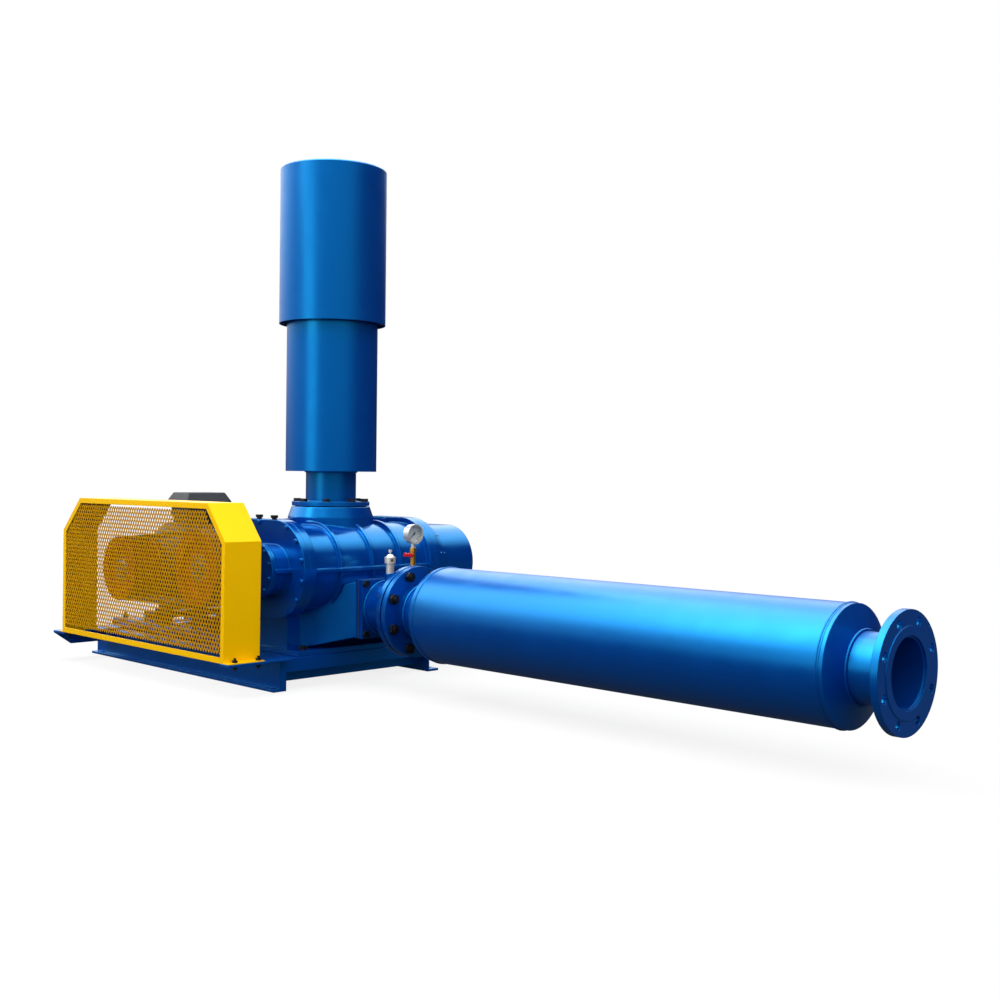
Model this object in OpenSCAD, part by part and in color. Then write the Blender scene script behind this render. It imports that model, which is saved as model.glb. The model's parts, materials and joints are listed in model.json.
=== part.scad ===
// Roots blower skid: belt-driven three-lobe blower with inlet and discharge silencers.
// Units are millimetres. X runs along the rotor shafts, Y points from the discharge
// pipe to the motor, Z is up. The origin is the centre of the foundation bolts on the floor.

/* [Base] */
// distance from the blower's middle to the end of the base
base_before = 195; // [180:1:320]
// distance between the flange tips of the front and rear channels
base_depth = 690; // [500:5:900]
// height of the front and rear channels
channel_height = 100; // [60:5:160]
// flange width of the front and rear channels
channel_flange = 48; // [30:1:80]
// web thickness of the base channels
channel_web = 6; // [4:0.5:10]
// flange thickness of the base channels
channel_flange_thick = 8; // [5:0.5:12]
// height of the side rails, flush with the top of the channels
side_rail_height = 42; // [30:1:80]
// width of the side rails
side_rail_width = 38; // [25:1:60]
// height of the hidden cross members
cross_height = 80; // [50:5:100]
// width of the hidden cross members
cross_width = 45; // [30:1:80]
// thickness of the deck plate under the blower
deck_thick = 8; // [5:1:15]
// radius of the foundation bolt holes
foundation_hole_r = 9; // [6:0.5:14]
// distance between foundation holes along X
foundation_x = 642; // [400:2:800]
// distance of the foundation holes from the ends of the channels
foundation_inset = 50; // [30:1:120]

/* [Blower] */
// height of the rotor shafts above the floor
shaft_z = 375; // [250:5:600]
// distance between the two rotor shafts
rotor_centres = 170; // [120:2:260]
// position of the blower's middle along Y
blower_y = -400; // [-600:5:-200]
// half length of the casing with its end flanges
casing_half = 263; // [180:1:400]
// tip radius of the rotor lobes
lobe_tip_r = 124; // [100:1:180]
// clearance taken off each rotor flank
lobe_clearance = 0.2; // [0.1:0.05:0.5]
// radial gap between rotor tips and casing bore
tip_gap = 0.3; // [0.2:0.05:0.8]
// gap between rotor ends and end plates
end_gap = 0.3; // [0.2:0.05:0.8]
// wall thickness of the casing
casing_wall = 14; // [8:0.5:25]
// outline radius of the casing end flanges and end plates
plate_r = 157; // [130:1:220]
// thickness of each casing end flange
casing_flange = 25; // [12:1:40]
// thickness of the drive end plate
drive_plate_thick = 22; // [12:1:40]
// outline radius of the drive side bearing housing
housing_r = 79; // [60:1:120]
// length of the drive side bearing housing
housing_length = 60; // [40:1:90]
// thickness of the drive side cover
cover_thick = 10; // [6:0.5:20]
// thickness of the gear end plate
gear_plate_thick = 48; // [30:1:70]
// length of the gear cover
gear_cover_length = 155; // [100:1:220]
// outline radius of the gear cover
gear_cover_r = 127; // [100:1:160]
// wall thickness of the gear cover
gear_cover_wall = 7; // [4:0.5:12]
// height of the casing ribs above the casing wall
rib_height = 11; // [4:1:25]
// thickness of the casing ribs
rib_thick = 10; // [5:1:20]

// half distance between the outlet box bolts along X
box_bolt_x = 205; // [150:1:240]
// half distance between the outlet box bolts along Y
box_bolt_y = 130; // [110:1:150]

/* [Shafts and gears] */
// radius of the shaft in the seals
shaft_r = 30; // [20:0.5:45]
// radius of the shaft in the bearings
journal_r = 25; // [15:0.5:40]
// radius of the drive shaft in the pulley
drive_end_r = 24; // [15:0.5:40]
// radius of the shaft in the timing gears
gear_seat_r = 22; // [12:0.5:35]
// outer radius of the bearings
bearing_r = 55; // [35:0.5:80]
// width of the bearings
bearing_width = 27; // [15:1:40]
// number of teeth on each timing gear
gear_teeth = 34; // [20:1:60]
// face width of the timing gears
gear_width = 40; // [20:1:70]
// play between gear flanks along the pitch line
gear_backlash = 0.5; // [0.1:0.1:1]
// running clearance between a shaft and a fixed bore
running_gap = 0.05; // [0.02:0.01:0.1]

/* [Flanges and pipe] */
// outer radius of the DN150 pipe
pipe_r = 84.15; // [50:0.05:120]
// wall thickness of the pipe
pipe_wall = 4.5; // [2:0.5:8]
// outer radius of the discharge flanges
flange_r = 142.5; // [100:0.5:200]
// thickness of the discharge flanges
flange_thick = 20; // [12:1:40]
// radius of the raised faces
raised_face_r = 106; // [80:0.5:150]
// height of the raised faces
raised_face = 2; // [0:0.5:4]
// pitch circle diameter of the discharge flange bolts
flange_pcd = 240; // [180:1:320]
// number of discharge flange bolts
flange_count = 8; // [4:4:16]
// radius of the bolt holes in the end flange
flange_hole_r = 11; // [6:0.5:16]
// radius of the bolt holes in the two flanges of the joint
joint_hole_r = 11.5; // [6:0.5:16]
// thickness of the flat gaskets
gasket_thick = 3; // [1:0.5:6]
// radius of the inlet flange
inlet_flange_r = 130; // [100:0.5:200]
// thickness of the inlet silencer's flange
inlet_flange_thick = 14; // [10:1:40]
// radius of the casting under the inlet flange
inlet_boss_r = 143; // [131:1:160]
// height over which that casting tapers up to the flange
inlet_taper = 34; // [10:1:60]
// pitch circle diameter of the inlet flange bolts
inlet_pcd = 225; // [180:1:320]
// radius of the inlet flange bolt holes
inlet_hole_r = 9; // [6:0.5:16]
// side of the square outlet flange
square_side = 187; // [150:1:260]
// thickness of the square outlet flange
square_thick = 18; // [10:1:30]
// distance between the bolts of the square flange
square_pitch = 160; // [120:1:220]
// radius of the bolt holes in the square flange
square_hole_r = 8.5; // [5:0.5:14]

/* [Inlet silencer] */
// height of the top of the inlet flange
inlet_flange_z = 587; // [450:1:900]
// height of the bottom of the inlet silencer shell
inlet_shell_z = 688; // [550:1:1000]
// height of the bottom edge of the hood
hood_z = 1182; // [900:1:1600]
// height of the top of the hood
stack_top_z = 1700; // [1300:5:2400]
// outer radius of the inlet silencer shell
inlet_shell_r = 152; // [100:1:250]
// outer radius of the hood
hood_r = 178; // [120:1:280]
// sheet thickness of the silencers
sheet = 3; // [1.5:0.5:5]
// overlap of the hood over the shell
hood_overlap = 34; // [10:1:80]
// free height between the filter and the top of the hood
filter_headroom = 100; // [10:5:200]
// outer radius of the perforated tube in the inlet silencer
inlet_core_r = 92; // [85:1:120]

/* [Discharge line] */
// height of the discharge axis
discharge_z = 251; // [200:1:500]
// distance from the blower's middle to the square flange's face
square_reach = 289; // [200:1:400]
// distance from the blower's middle to the joint's outer face
joint_reach = 457; // [350:1:600]
// distance from the blower's middle to the silencer body
body_start = 571; // [450:1:800]
// distance from the blower's middle to the end of the silencer body
body_end = 1954; // [1200:1:3000]
// distance from the blower's middle to the end flange's face
end_reach = 2087; // [1400:1:3200]
// outer radius of the discharge silencer body
silencer_r = 146; // [100:1:250]
// rise of the coned end caps
cap_rise = 24; // [0:1:60]

/* [Belt drive] */
// position of the motor shaft along Y
motor_y = 175; // [100:1:400]
// height of the motor shaft
motor_z = 347; // [200:1:500]
// position of the outer pulley faces
pulley_face_x = -467; // [-600:1:-400]
// number of belts
belt_count = 5; // [1:1:8]
// groove spacing
groove_pitch = 19; // [12:0.5:26]
// distance from a pulley face to the first groove
groove_edge = 12.5; // [8:0.5:20]
// pitch diameter of the blower pulley
blower_pitch_d = 236; // [150:1:400]
// pitch diameter of the motor pulley
motor_pitch_d = 212; // [150:1:400]
// height of a pulley's rim above its pitch line
rim_height = 3.5; // [2:0.5:6]
// depth of the grooves below the pitch line
groove_depth = 14; // [8:0.5:20]
// half width of the grooves at the pitch line
groove_half = 7; // [4:0.5:12]
// gap between the fixed belts and the turning pulleys
belt_gap = 0.4; // [0.2:0.1:1]

/* [Guard] */
// front face of the belt guard
guard_x = -534; // [-700:1:-450]
// depth of the guard
guard_depth = 129; // [80:1:250]
// guard end nearest the discharge
guard_y0 = -580; // [-800:1:-400]
// guard end nearest the motor's outer side
guard_y1 = 449; // [300:1:700]
// top of the guard
guard_top = 581; // [400:1:800]
// size of the cut top corners
guard_corner = 105; // [40:1:200]
// sheet thickness of the guard
guard_sheet = 3; // [1.5:0.5:5]
// width of the rim round the mesh
guard_rim = 18; // [8:1:40]
// spacing of the mesh openings
mesh_pitch = 36; // [16:1:60]
// width of the outward foot flanges
guard_foot = 28; // [15:1:50]
// thickness of the guard bracket plates
bracket_thick = 8; // [4:1:15]

/* [Motor] */
// shaft height of the motor above its feet
motor_shaft_height = 200; // [100:5:300]
// radius of the motor barrel over its fins
motor_r = 174; // [120:1:280]
// depth of the cooling fins
fin_depth = 18; // [8:1:40]
// distance between the foot holes across the motor
foot_across = 318; // [200:1:450]
// distance between the foot holes along the motor
foot_along = 305; // [200:1:450]
// half width of a motor foot
foot_half = 38; // [25:1:60]
// distance from the shaft shoulder to the first foot hole
foot_offset = 133; // [80:1:200]
// position of the shaft shoulder
shoulder_x = -353; // [-450:1:-250]
// radius of the motor shaft
motor_shaft_r = 27.5; // [15:0.5:40]
// overall length of the motor behind the shoulder
motor_length = 665; // [400:5:900]
// middle of the terminal box along X
terminal_x = -152; // [-250:1:100]
// length of the terminal box along X
terminal_length = 176; // [100:1:260]
// width of the terminal box along Y
terminal_width = 132; // [80:1:220]
// top of the terminal box lid
terminal_top = 614; // [500:1:750]

// how far the terminal lid stands out past its box
lid_overhang = 12; // [4:1:25]
// length of the cone on the front shield
shield_cone = 76; // [30:1:110]
// height of the slide rails
rail_height = 27; // [15:1:60]
// half width of a slide rail
rail_half = 42; // [25:1:60]
// reach of the slide rails toward the blower, from the motor's middle
rail_inner = 375; // [330:1:400]
// reach of the slide rails and the base away from the blower, from the motor's middle
rail_outer = 420; // [380:1:440]

/* [Gauge and relief valve] */
// position of the relief valve from the blower's middle
relief_reach = 312; // [295:1:380]
// top of the relief valve pin at rest
relief_top = 438; // [400:1:500]
// travel of the relief valve pin
relief_travel = 4; // [2:0.5:8]
// position of the gauge from the blower's middle
gauge_reach = 390; // [340:1:400]
// sideways position of the gauge
gauge_x = 28; // [-40:1:40]
// height of the gauge's middle
gauge_z = 491; // [450:1:600]
// radius of the gauge case
gauge_r = 32; // [20:0.5:60]
// depth of the gauge case
gauge_depth = 27; // [15:1:50]

/* [Hidden] */
$fn = 64;
eps = 0.01;
fit_gap = 0.02;
base_y0 = blower_y - base_before;
base_y1 = motor_y + rail_outer;
depth_half = base_depth / 2;
web_face = depth_half - channel_flange;
drive_y = blower_y + rotor_centres / 2;
driven_y = blower_y - rotor_centres / 2;
pitch_r = rotor_centres / 2;
bore_r = lobe_tip_r + tip_gap;
body_r = bore_r + casing_wall;
drive_plate_x = -casing_half - drive_plate_thick;
housing_x = drive_plate_x - housing_length;
cover_x = housing_x - cover_thick;
gear_plate_x = casing_half + gear_plate_thick;
gear_cover_x = gear_plate_x + gear_cover_length;
pipe_in = pipe_r - pipe_wall;
pulley_width = 2 * groove_edge + (belt_count - 1) * groove_pitch;
pulley_back_x = pulley_face_x + pulley_width;
blower_rim_r = blower_pitch_d / 2 + rim_height;
motor_rim_r = motor_pitch_d / 2 + rim_height;
belt_dy = motor_y - drive_y;
belt_dz = motor_z - shaft_z;
belt_span = sqrt(belt_dy * belt_dy + belt_dz * belt_dz);
belt_tilt = atan2(belt_dz, belt_dy);
belt_lean = asin((blower_pitch_d - motor_pitch_d) / 2 / belt_span);
guard_bottom = channel_height + bracket_thick;
guard_back = guard_x + guard_depth;
rail_top = motor_z - motor_shaft_height;
foot_x1 = shoulder_x + foot_offset;
foot_x2 = foot_x1 + foot_along;
motor_back = shoulder_x + motor_length;
square_y = blower_y - square_reach;
joint_y = blower_y - joint_reach;
stub_flange_y = joint_y + flange_thick + gasket_thick;
end_y = blower_y - end_reach;
deck_y = blower_y + 190;
inlet_neck_top = inlet_flange_z - inlet_flange_thick - gasket_thick;
square_back = square_y + square_thick + gasket_thick;
relief_y = blower_y - relief_reach;
gauge_y = blower_y - gauge_reach;
foot_top = channel_height + 18;
rail_face = channel_height + rail_height;
rail_bolts_y = [motor_y - rail_inner + 50, motor_y + rail_outer - 21];
foot_y = foot_across / 2;
foot_edge = foot_y + foot_half;
weld_inset = 14;
filter_z = hood_z + hood_overlap;
filter_height = stack_top_z - sheet - 1 - filter_headroom - filter_z;
filter_r = inlet_shell_r - 20;
filter_rim = 8;
barrel_r = motor_r - fin_depth;

BLUE = [0.03, 0.26, 0.66];
YELLOW = [0.93, 0.70, 0.02];
BLACK = [0.06, 0.06, 0.07];
STEEL = [0.62, 0.63, 0.65];
BRASS = [0.72, 0.52, 0.18];
RED = [0.75, 0.06, 0.05];
RUBBER = [0.05, 0.05, 0.05];
RUST = [0.62, 0.30, 0.08];
GREY = [0.24, 0.26, 0.30];

// Helpers

module at_x(x, y, z) { translate([x, y, z]) rotate([0, 90, 0]) children(); }
module at_y(x, y, z) { translate([x, y, z]) rotate([90, 0, 0]) children(); }

// flat oval round both shafts, from x0 to x1
module oval(r, x0, x1, fn = 96) {
    at_x(x0, blower_y, shaft_z) linear_extrude(x1 - x0) union() {
        translate([0, pitch_r]) circle(r, $fn = fn);
        translate([0, -pitch_r]) circle(r, $fn = fn);
        translate([-r, -pitch_r]) square([2 * r, rotor_centres]);
    }
}

// places on the outline of an oval with radius r
function oval_spots(r, n, turn = 0) = [for (i = [0:n - 1])
    let (a = turn + i * 360 / n, c = cos(a), s = sin(a))
    [blower_y + r * c + (c > 0.05 ? pitch_r : c < -0.05 ? -pitch_r : 0), shaft_z + r * s]];

module hex_head(r, h) { cylinder(r = r, h = h, $fn = 6); }

// bolt along +Z: shank down from 0, head above
module bolt(r, length, head_r, head_h) {
    translate([0, 0, -length]) cylinder(r = r, h = length + eps, $fn = 24);
    hex_head(head_r, head_h);
}

module stud(r, length, nut_r, nut_h, proud = 5) {
    translate([0, 0, -length - nut_h - proud])
        cylinder(r = r, h = length + 2 * nut_h + 2 * proud, $fn = 24);
    hex_head(nut_r, nut_h);
    translate([0, 0, -length - nut_h]) hex_head(nut_r, nut_h);
}

module box(x0, x1, y0, y1, z0, z1) {
    translate([x0, y0, z0]) cube([x1 - x0, y1 - y0, z1 - z0]);
}

// Base

module front_channel() {
    difference() {
        box(-depth_half, -web_face, base_y0, base_y1, 0, channel_height);
        box(-depth_half - 1, -web_face - channel_web, base_y0 - 1, base_y1 + 1,
            channel_flange_thick, channel_height - channel_flange_thick);
        for (y = [base_y0 + foundation_inset, base_y1 - foundation_inset])
            translate([-foundation_x / 2, y, -1])
            cylinder(r = foundation_hole_r, h = channel_flange_thick + 2, $fn = 32);
    }
}

module side_rail() {
    difference() {
        box(-web_face, web_face, 0, side_rail_width,
            channel_height - side_rail_height, channel_height);
        box(-web_face - 1, web_face + 1, channel_web, side_rail_width + 1,
            channel_height - side_rail_height + 6, channel_height - 6);
    }
}

module cross_member(y) {
    difference() {
        box(-web_face, web_face, y - cross_width / 2, y + cross_width / 2,
            channel_height - cross_height, channel_height);
        box(-web_face - 1, web_face + 1, y - cross_width / 2 + channel_web,
            y + cross_width, channel_height - cross_height + 6, channel_height - 6);
    }
}

// plate that carries the guard's foot, in front of the front channel
module guard_bracket(y0, y1) {
    box(guard_x, -web_face, y0, y1, channel_height, guard_bottom);
}

module bracket_web(y0, y1) {
    translate([0, y1, 0]) rotate([90, 0, 0]) linear_extrude(y1 - y0)
        polygon([[guard_x, channel_height + eps], [guard_x + 64, channel_height - 45],
            [-depth_half + 10, channel_height - 45], [-depth_half + 10, channel_height + eps]]);
}

module deck_holes() {
    for (x = [-1, 1], y = [-1, 1])
        translate([x * box_bolt_x, blower_y + y * box_bolt_y, channel_height - deck_thick - 8])
            cylinder(r = 9, h = deck_thick + 20, $fn = 32);
}

module rail_holes() {
    for (x = [foot_x1, foot_x2], y = rail_bolts_y)
        translate([x, y, channel_height - 20]) cylinder(r = 8, h = 30, $fn = 32);
}

module base_frame() color(BLUE) difference() {
    union() {
        front_channel();
        mirror([1, 0, 0]) front_channel();
        translate([0, base_y0, 0]) side_rail();
        translate([0, base_y1, 0]) mirror([0, 1, 0]) side_rail();
        cross_member(blower_y - 86);
        cross_member(blower_y + 90);
        cross_member(motor_y - 325);
        cross_member(motor_y);
        cross_member(motor_y + 325);
        box(-web_face, web_face, base_y0 + side_rail_width, deck_y,
            channel_height - deck_thick, channel_height);
        guard_bracket(guard_y0 - guard_foot - 2, guard_y0 + 22);
        guard_bracket(guard_y1 - 8, guard_y1 + 68);
        bracket_web(guard_y1 + 60, guard_y1 + 68);
    }
    deck_holes();
    rail_holes();
    for (x = [31, 115], y = [guard_y0 - guard_foot / 2, guard_y1 + guard_foot / 2])
        translate([guard_x + x, y, channel_height - 1])
            cylinder(r = 4.5, h = bracket_thick + 2, $fn = 32);
}

// a rail with a slot for the foot bolts and two seats that carry the motor's feet
module slide_rails() color(BLUE) for (x = [foot_x1, foot_x2]) difference() {
    union() {
        box(x - rail_half, x + rail_half, motor_y - rail_inner, motor_y + rail_outer,
            channel_height, rail_face);
        for (s = [-1, 1]) box(x - rail_half + 8, x + rail_half - 8, motor_y + s * foot_y - 44,
            motor_y + s * foot_y + 44, rail_face - eps, rail_top);
    }
    box(x - 9, x + 9, motor_y - 290, motor_y + 290, rail_face - 10, rail_top + 1);
    box(x - 16, x + 16, motor_y - 290, motor_y + 290, rail_face - 22, rail_face - 10 + eps);
    for (y = rail_bolts_y) translate([x, y, channel_height - 1]) cylinder(r = 8, h = 100, $fn = 32);
}

// jack screws that push the motor feet outward, one block on each rail
module tension_screws() color(BLACK) for (x = [foot_x1, foot_x2]) {
    box(x - 20, x + 20, motor_y - foot_edge - 55, motor_y - foot_edge - 31,
        rail_face, rail_top + 34);
    translate([x, motor_y - foot_edge - 73, rail_top + 18]) rotate([-90, 0, 0])
        cylinder(r = 6, h = 73 - fit_gap, $fn = 24);
    translate([x, motor_y - foot_edge - 81, rail_top + 18]) rotate([-90, 0, 0]) hex_head(11, 9);
}

module rail_bolts() color(BLACK) for (x = [foot_x1, foot_x2], y = rail_bolts_y)
    translate([x, y, rail_face]) stud(7, rail_height + 6, 13, 11, 8);

// Guard

module guard_outline(grow = 0) {
    g = -grow;
    polygon([[guard_y0 - g, guard_bottom], [guard_y0 - g, guard_top - guard_corner],
        [guard_y0 + guard_corner, guard_top - g], [guard_y1 - guard_corner, guard_top - g],
        [guard_y1 + g, guard_top - guard_corner], [guard_y1 + g, guard_bottom]]);
}

module guard_face(inset, bottom) {
    k = inset * 0.4142;
    polygon([[guard_y0 + inset, guard_bottom + bottom],
        [guard_y0 + inset, guard_top - guard_corner - k],
        [guard_y0 + guard_corner + k, guard_top - inset],
        [guard_y1 - guard_corner - k, guard_top - inset],
        [guard_y1 - inset, guard_top - guard_corner - k],
        [guard_y1 - inset, guard_bottom + bottom]]);
}

// extrudes a YZ outline from x0 to x1
module along_x(x0, x1) {
    translate([x0, 0, 0]) rotate([90, 0, 90]) linear_extrude(x1 - x0) children();
}

module guard_shell() color(YELLOW) difference() {
    union() {
        difference() {
            along_x(guard_x, guard_back) guard_face(0, 0);
            along_x(guard_x - 1, guard_back + 1) guard_face(guard_sheet, -1);
        }
        difference() {
            along_x(guard_x, guard_x + guard_sheet) guard_face(0, 0);
            along_x(guard_x - 1, guard_back) guard_face(guard_rim, guard_rim);
        }
        box(guard_x, guard_back, guard_y0 - guard_foot, guard_y0 + guard_sheet,
            guard_bottom, guard_bottom + guard_sheet);
        box(guard_x, guard_back, guard_y1 - guard_sheet, guard_y1 + guard_foot,
            guard_bottom, guard_bottom + guard_sheet);
    }
    for (x = [31, 115], y = [guard_y0 - guard_foot / 2, guard_y1 + guard_foot / 2])
        translate([guard_x + x, y, guard_bottom - 1])
            cylinder(r = 4.5, h = guard_sheet + 2, $fn = 32);
}

module guard_mesh() color(YELLOW) {
    x = guard_x + guard_sheet;
    width = guard_y1 - guard_y0;
    tall = guard_top - guard_bottom;
    difference() {
        along_x(x, x + 2) guard_face(guard_sheet, 0.5);
        intersection() {
            along_x(x - 1, x + 3) guard_face(guard_rim, guard_rim);
            for (j = [0:floor(tall / mesh_pitch)], i = [0:floor(width / mesh_pitch)])
                translate([x - 2, guard_y0 + (i + (j % 2) / 2) * mesh_pitch,
                    guard_bottom + j * mesh_pitch])
                    rotate([0, 90, 0]) rotate([0, 0, 45])
                        translate([-mesh_pitch * 0.29, -mesh_pitch * 0.29, 0])
                        cube([mesh_pitch * 0.58, mesh_pitch * 0.58, 6]);
        }
    }
}

module guard_bolts() color(BLACK)
    for (x = [31, 115], y = [guard_y0 - guard_foot / 2, guard_y1 + guard_foot / 2])
        translate([guard_x + x, y, guard_bottom + guard_sheet])
            stud(4, bracket_thick + guard_sheet, 9, 7, 7);

// Blower

module outlet_box() color(BLUE) difference() {
    union() {
        box(-240, 240, blower_y - 90, blower_y + 90, foot_top - 1, shaft_z - 40);
        box(-box_bolt_x - 45, box_bolt_x + 45, blower_y - box_bolt_y - 35,
            blower_y + box_bolt_y + 35, channel_height, foot_top);
        hull() {
            box(-190, 190, blower_y - 91, blower_y - 89, foot_top - 1, shaft_z - body_r + 60);
            box(-square_side / 2 + 6, square_side / 2 - 6, square_back, square_back + 2,
                discharge_z - square_side / 2 + 6, discharge_z + square_side / 2 - 6);
        }
        box(-square_side / 2, square_side / 2, square_back, square_back + 14,
            discharge_z - square_side / 2, discharge_z + square_side / 2);
    }
    oval(body_r + fit_gap, -casing_half + casing_flange, casing_half - casing_flange);
    oval(plate_r + fit_gap, -casing_half - 60, -casing_half + casing_flange + fit_gap);
    oval(plate_r + fit_gap, casing_half - casing_flange - fit_gap, casing_half + 60);
    for (x = [-131, 0, 120]) oval(body_r + rib_height + fit_gap, x - rib_thick / 2 - fit_gap,
        x + rib_thick / 2 + fit_gap);
    box(-226, 226, blower_y - 78, blower_y + 78, foot_top, shaft_z);
    hull() {
        box(-170, 170, blower_y - 80, blower_y - 70, foot_top + 12, discharge_z - 10);
        at_y(0, square_back + 30, discharge_z) cylinder(r = pipe_in, h = 1, $fn = 64);
    }
    at_y(0, square_back + 31, discharge_z) cylinder(r = pipe_in, h = 60, $fn = 96);
    for (x = [-1, 1], y = [-1, 1])
        translate([x * box_bolt_x, blower_y + y * box_bolt_y, channel_height - 1])
            cylinder(r = 9, h = 20, $fn = 32);
    for (x = [-1, 1], z = [-1, 1])
        at_y(x * square_pitch / 2, square_back + 20, discharge_z + z * square_pitch / 2)
            cylinder(r = square_hole_r, h = 30, $fn = 32);
}

module box_bolts() color(BLACK)
    for (x = [-1, 1], y = [-1, 1]) translate([x * box_bolt_x, blower_y + y * box_bolt_y, foot_top])
        stud(8, 18 + deck_thick, 13.5, 10, 4);

module casing() color(BLUE) difference() {
    union() {
        oval(body_r, -casing_half + 1, casing_half - 1);
        oval(plate_r, -casing_half, -casing_half + casing_flange);
        oval(plate_r, casing_half - casing_flange, casing_half);
        for (x = [-131, 0, 120]) oval(body_r + rib_height, x - rib_thick / 2, x + rib_thick / 2);
        for (s = [-1, 1]) box(-casing_half + 5, casing_half - 5,
            blower_y + s * (pitch_r + body_r + 5) - 8, blower_y + s * (pitch_r + body_r + 5) + 8,
            shaft_z - 6, shaft_z + 6);
        translate([0, blower_y, shaft_z + body_r - 60]) cylinder(r = inlet_boss_r,
            h = inlet_neck_top - inlet_taper - shaft_z - body_r + 60, $fn = 96);
        translate([0, blower_y, inlet_neck_top - inlet_taper - eps])
            cylinder(r1 = inlet_boss_r, r2 = inlet_flange_r + 1, h = inlet_taper + eps, $fn = 96);
        for (s = [-1, 1]) scale([s, 1, 1]) translate([0, blower_y + 6, 0])
            rotate([90, 0, 0]) linear_extrude(12)
                polygon([[casing_half - 2, shaft_z + plate_r - 8],
                    [casing_half - casing_flange, shaft_z + body_r - 20],
                    [90, shaft_z + body_r - 20], [90, inlet_neck_top - inlet_taper],
                    [inlet_boss_r - 4, inlet_neck_top - inlet_taper]]);
    }
    for (y = [drive_y, driven_y])
        at_x(-casing_half - 1, y, shaft_z) cylinder(r = bore_r, h = 2 * casing_half + 2, $fn = 128);
    translate([0, blower_y, shaft_z]) cylinder(r = pipe_in, h = 300, $fn = 96);
    box(-150, 150, blower_y - 62, blower_y + 62, shaft_z - body_r - 30, shaft_z);
    for (i = [0:7]) rotate_about([0, blower_y], 45 * i)
        translate([inlet_pcd / 2, 0, inlet_neck_top - 30]) cylinder(r = 7.5, h = 40, $fn = 24);
}

module rotate_about(c, a) {
    translate([c[0], c[1], 0]) rotate([0, 0, a]) children();
}

module drive_end_plate() color(BLUE) difference() {
    union() {
        oval(plate_r, drive_plate_x, -casing_half);
        oval(housing_r, housing_x, drive_plate_x + 1);
        oval(housing_r + 7, housing_x, housing_x + 9);
        for (s = [-1, 1]) box(housing_x, drive_plate_x + 1,
            blower_y + s * (pitch_r + housing_r + 4) - 10,
            blower_y + s * (pitch_r + housing_r + 4) + 10, shaft_z - 6, shaft_z + 6);
    }
    for (y = [drive_y, driven_y]) {
        at_x(housing_x - 1, y, shaft_z) cylinder(r = bearing_r + fit_gap, h = 43, $fn = 96);
        at_x(housing_x - 1, y, shaft_z) cylinder(r = 42 + fit_gap, h = 70, $fn = 96);
        at_x(housing_x - 1, y, shaft_z) cylinder(r = shaft_r + 0.5, h = 200, $fn = 96);
    }
}

module drive_end_cover() color(BLUE) difference() {
    oval(housing_r + 7, cover_x, housing_x);
    at_x(cover_x - 1, drive_y, shaft_z) cylinder(r = drive_end_r + 8 + fit_gap, h = 60, $fn = 96);
    for (p = oval_spots(housing_r - 4, 10, 18)) at_x(cover_x - 1, p[0], p[1])
        cylinder(r = 4.5, h = cover_thick + 2, $fn = 24);
}

module gear_end_plate() color(BLUE) difference() {
    union() {
        oval(plate_r, casing_half, casing_half + 27);
        oval(gear_cover_r + 12, casing_half + 26, gear_plate_x);
    }
    for (y = [drive_y, driven_y]) {
        at_x(gear_plate_x - bearing_width - 4, y, shaft_z)
            cylinder(r = bearing_r + fit_gap, h = 80, $fn = 96);
        at_x(casing_half + 8, y, shaft_z) cylinder(r = 42 + fit_gap, h = 30, $fn = 96);
        at_x(casing_half - 1, y, shaft_z) cylinder(r = shaft_r + 0.5, h = 60, $fn = 96);
    }
}

module gear_cover() color(BLUE) difference() {
    union() {
        oval(gear_cover_r, gear_plate_x, gear_cover_x);
        oval(gear_cover_r + 12, gear_plate_x, gear_plate_x + 10);
        translate([gear_plate_x + 60, blower_y, shaft_z + gear_cover_r - 4])
            cylinder(r = 16, h = 12, $fn = 48);
    }
    oval(gear_cover_r - gear_cover_wall, gear_plate_x - 1, gear_cover_x - gear_cover_wall);
    translate([gear_plate_x + 60, blower_y, shaft_z + gear_cover_r - 30])
        cylinder(r = 9 + fit_gap, h = 60, $fn = 48);
    at_x(gear_cover_x - 20, driven_y - 20, shaft_z - 45) cylinder(r = 19 + fit_gap, h = 40, $fn = 64);
}

// cap screws of the end plates, the drive side cover and the gear cover
module plate_bolts() color(BLUE) {
    for (p = oval_spots(plate_r - 9, 14, 12)) {
        at_x(drive_plate_x, p[0], p[1]) mirror([0, 0, 1]) hex_head(8, 7);
        at_x(casing_half + 27, p[0], p[1]) hex_head(8, 7);
    }
    for (p = oval_spots(housing_r - 4, 10, 18))
        at_x(cover_x, p[0], p[1]) mirror([0, 0, 1]) bolt(4, cover_thick, 6.5, 5.5);
    for (p = oval_spots(gear_cover_r + 6, 12, 15))
        at_x(gear_plate_x + 10, p[0], p[1]) hex_head(5.5, 6);
}

module oil_plugs() color(BLACK) {
    for (y = [blower_y + 19, blower_y - 64])
        translate([drive_plate_x + 11, y, shaft_z + plate_r]) {
            cylinder(r = 8, h = 6, $fn = 32);
            translate([0, 0, 5]) hex_head(13, 9);
        }
    translate([gear_plate_x + 60, blower_y, shaft_z + gear_cover_r - 8]) {
        cylinder(r = 9, h = 20, $fn = 32);
        translate([0, 0, 16]) hex_head(15, 9);
        translate([0, 0, 24]) cylinder(r = 8, h = 8, $fn = 32);
    }
}

module sight_glass() color(STEEL)
    at_x(gear_cover_x - gear_cover_wall, driven_y - 20, shaft_z - 45) {
        cylinder(r = 19, h = gear_cover_wall, $fn = 64);
        translate([0, 0, gear_cover_wall]) difference() {
            cylinder(r = 23, h = 5, $fn = 64);
            translate([0, 0, 2]) cylinder(r = 15, h = 5, $fn = 64);
        }
    }

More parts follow.
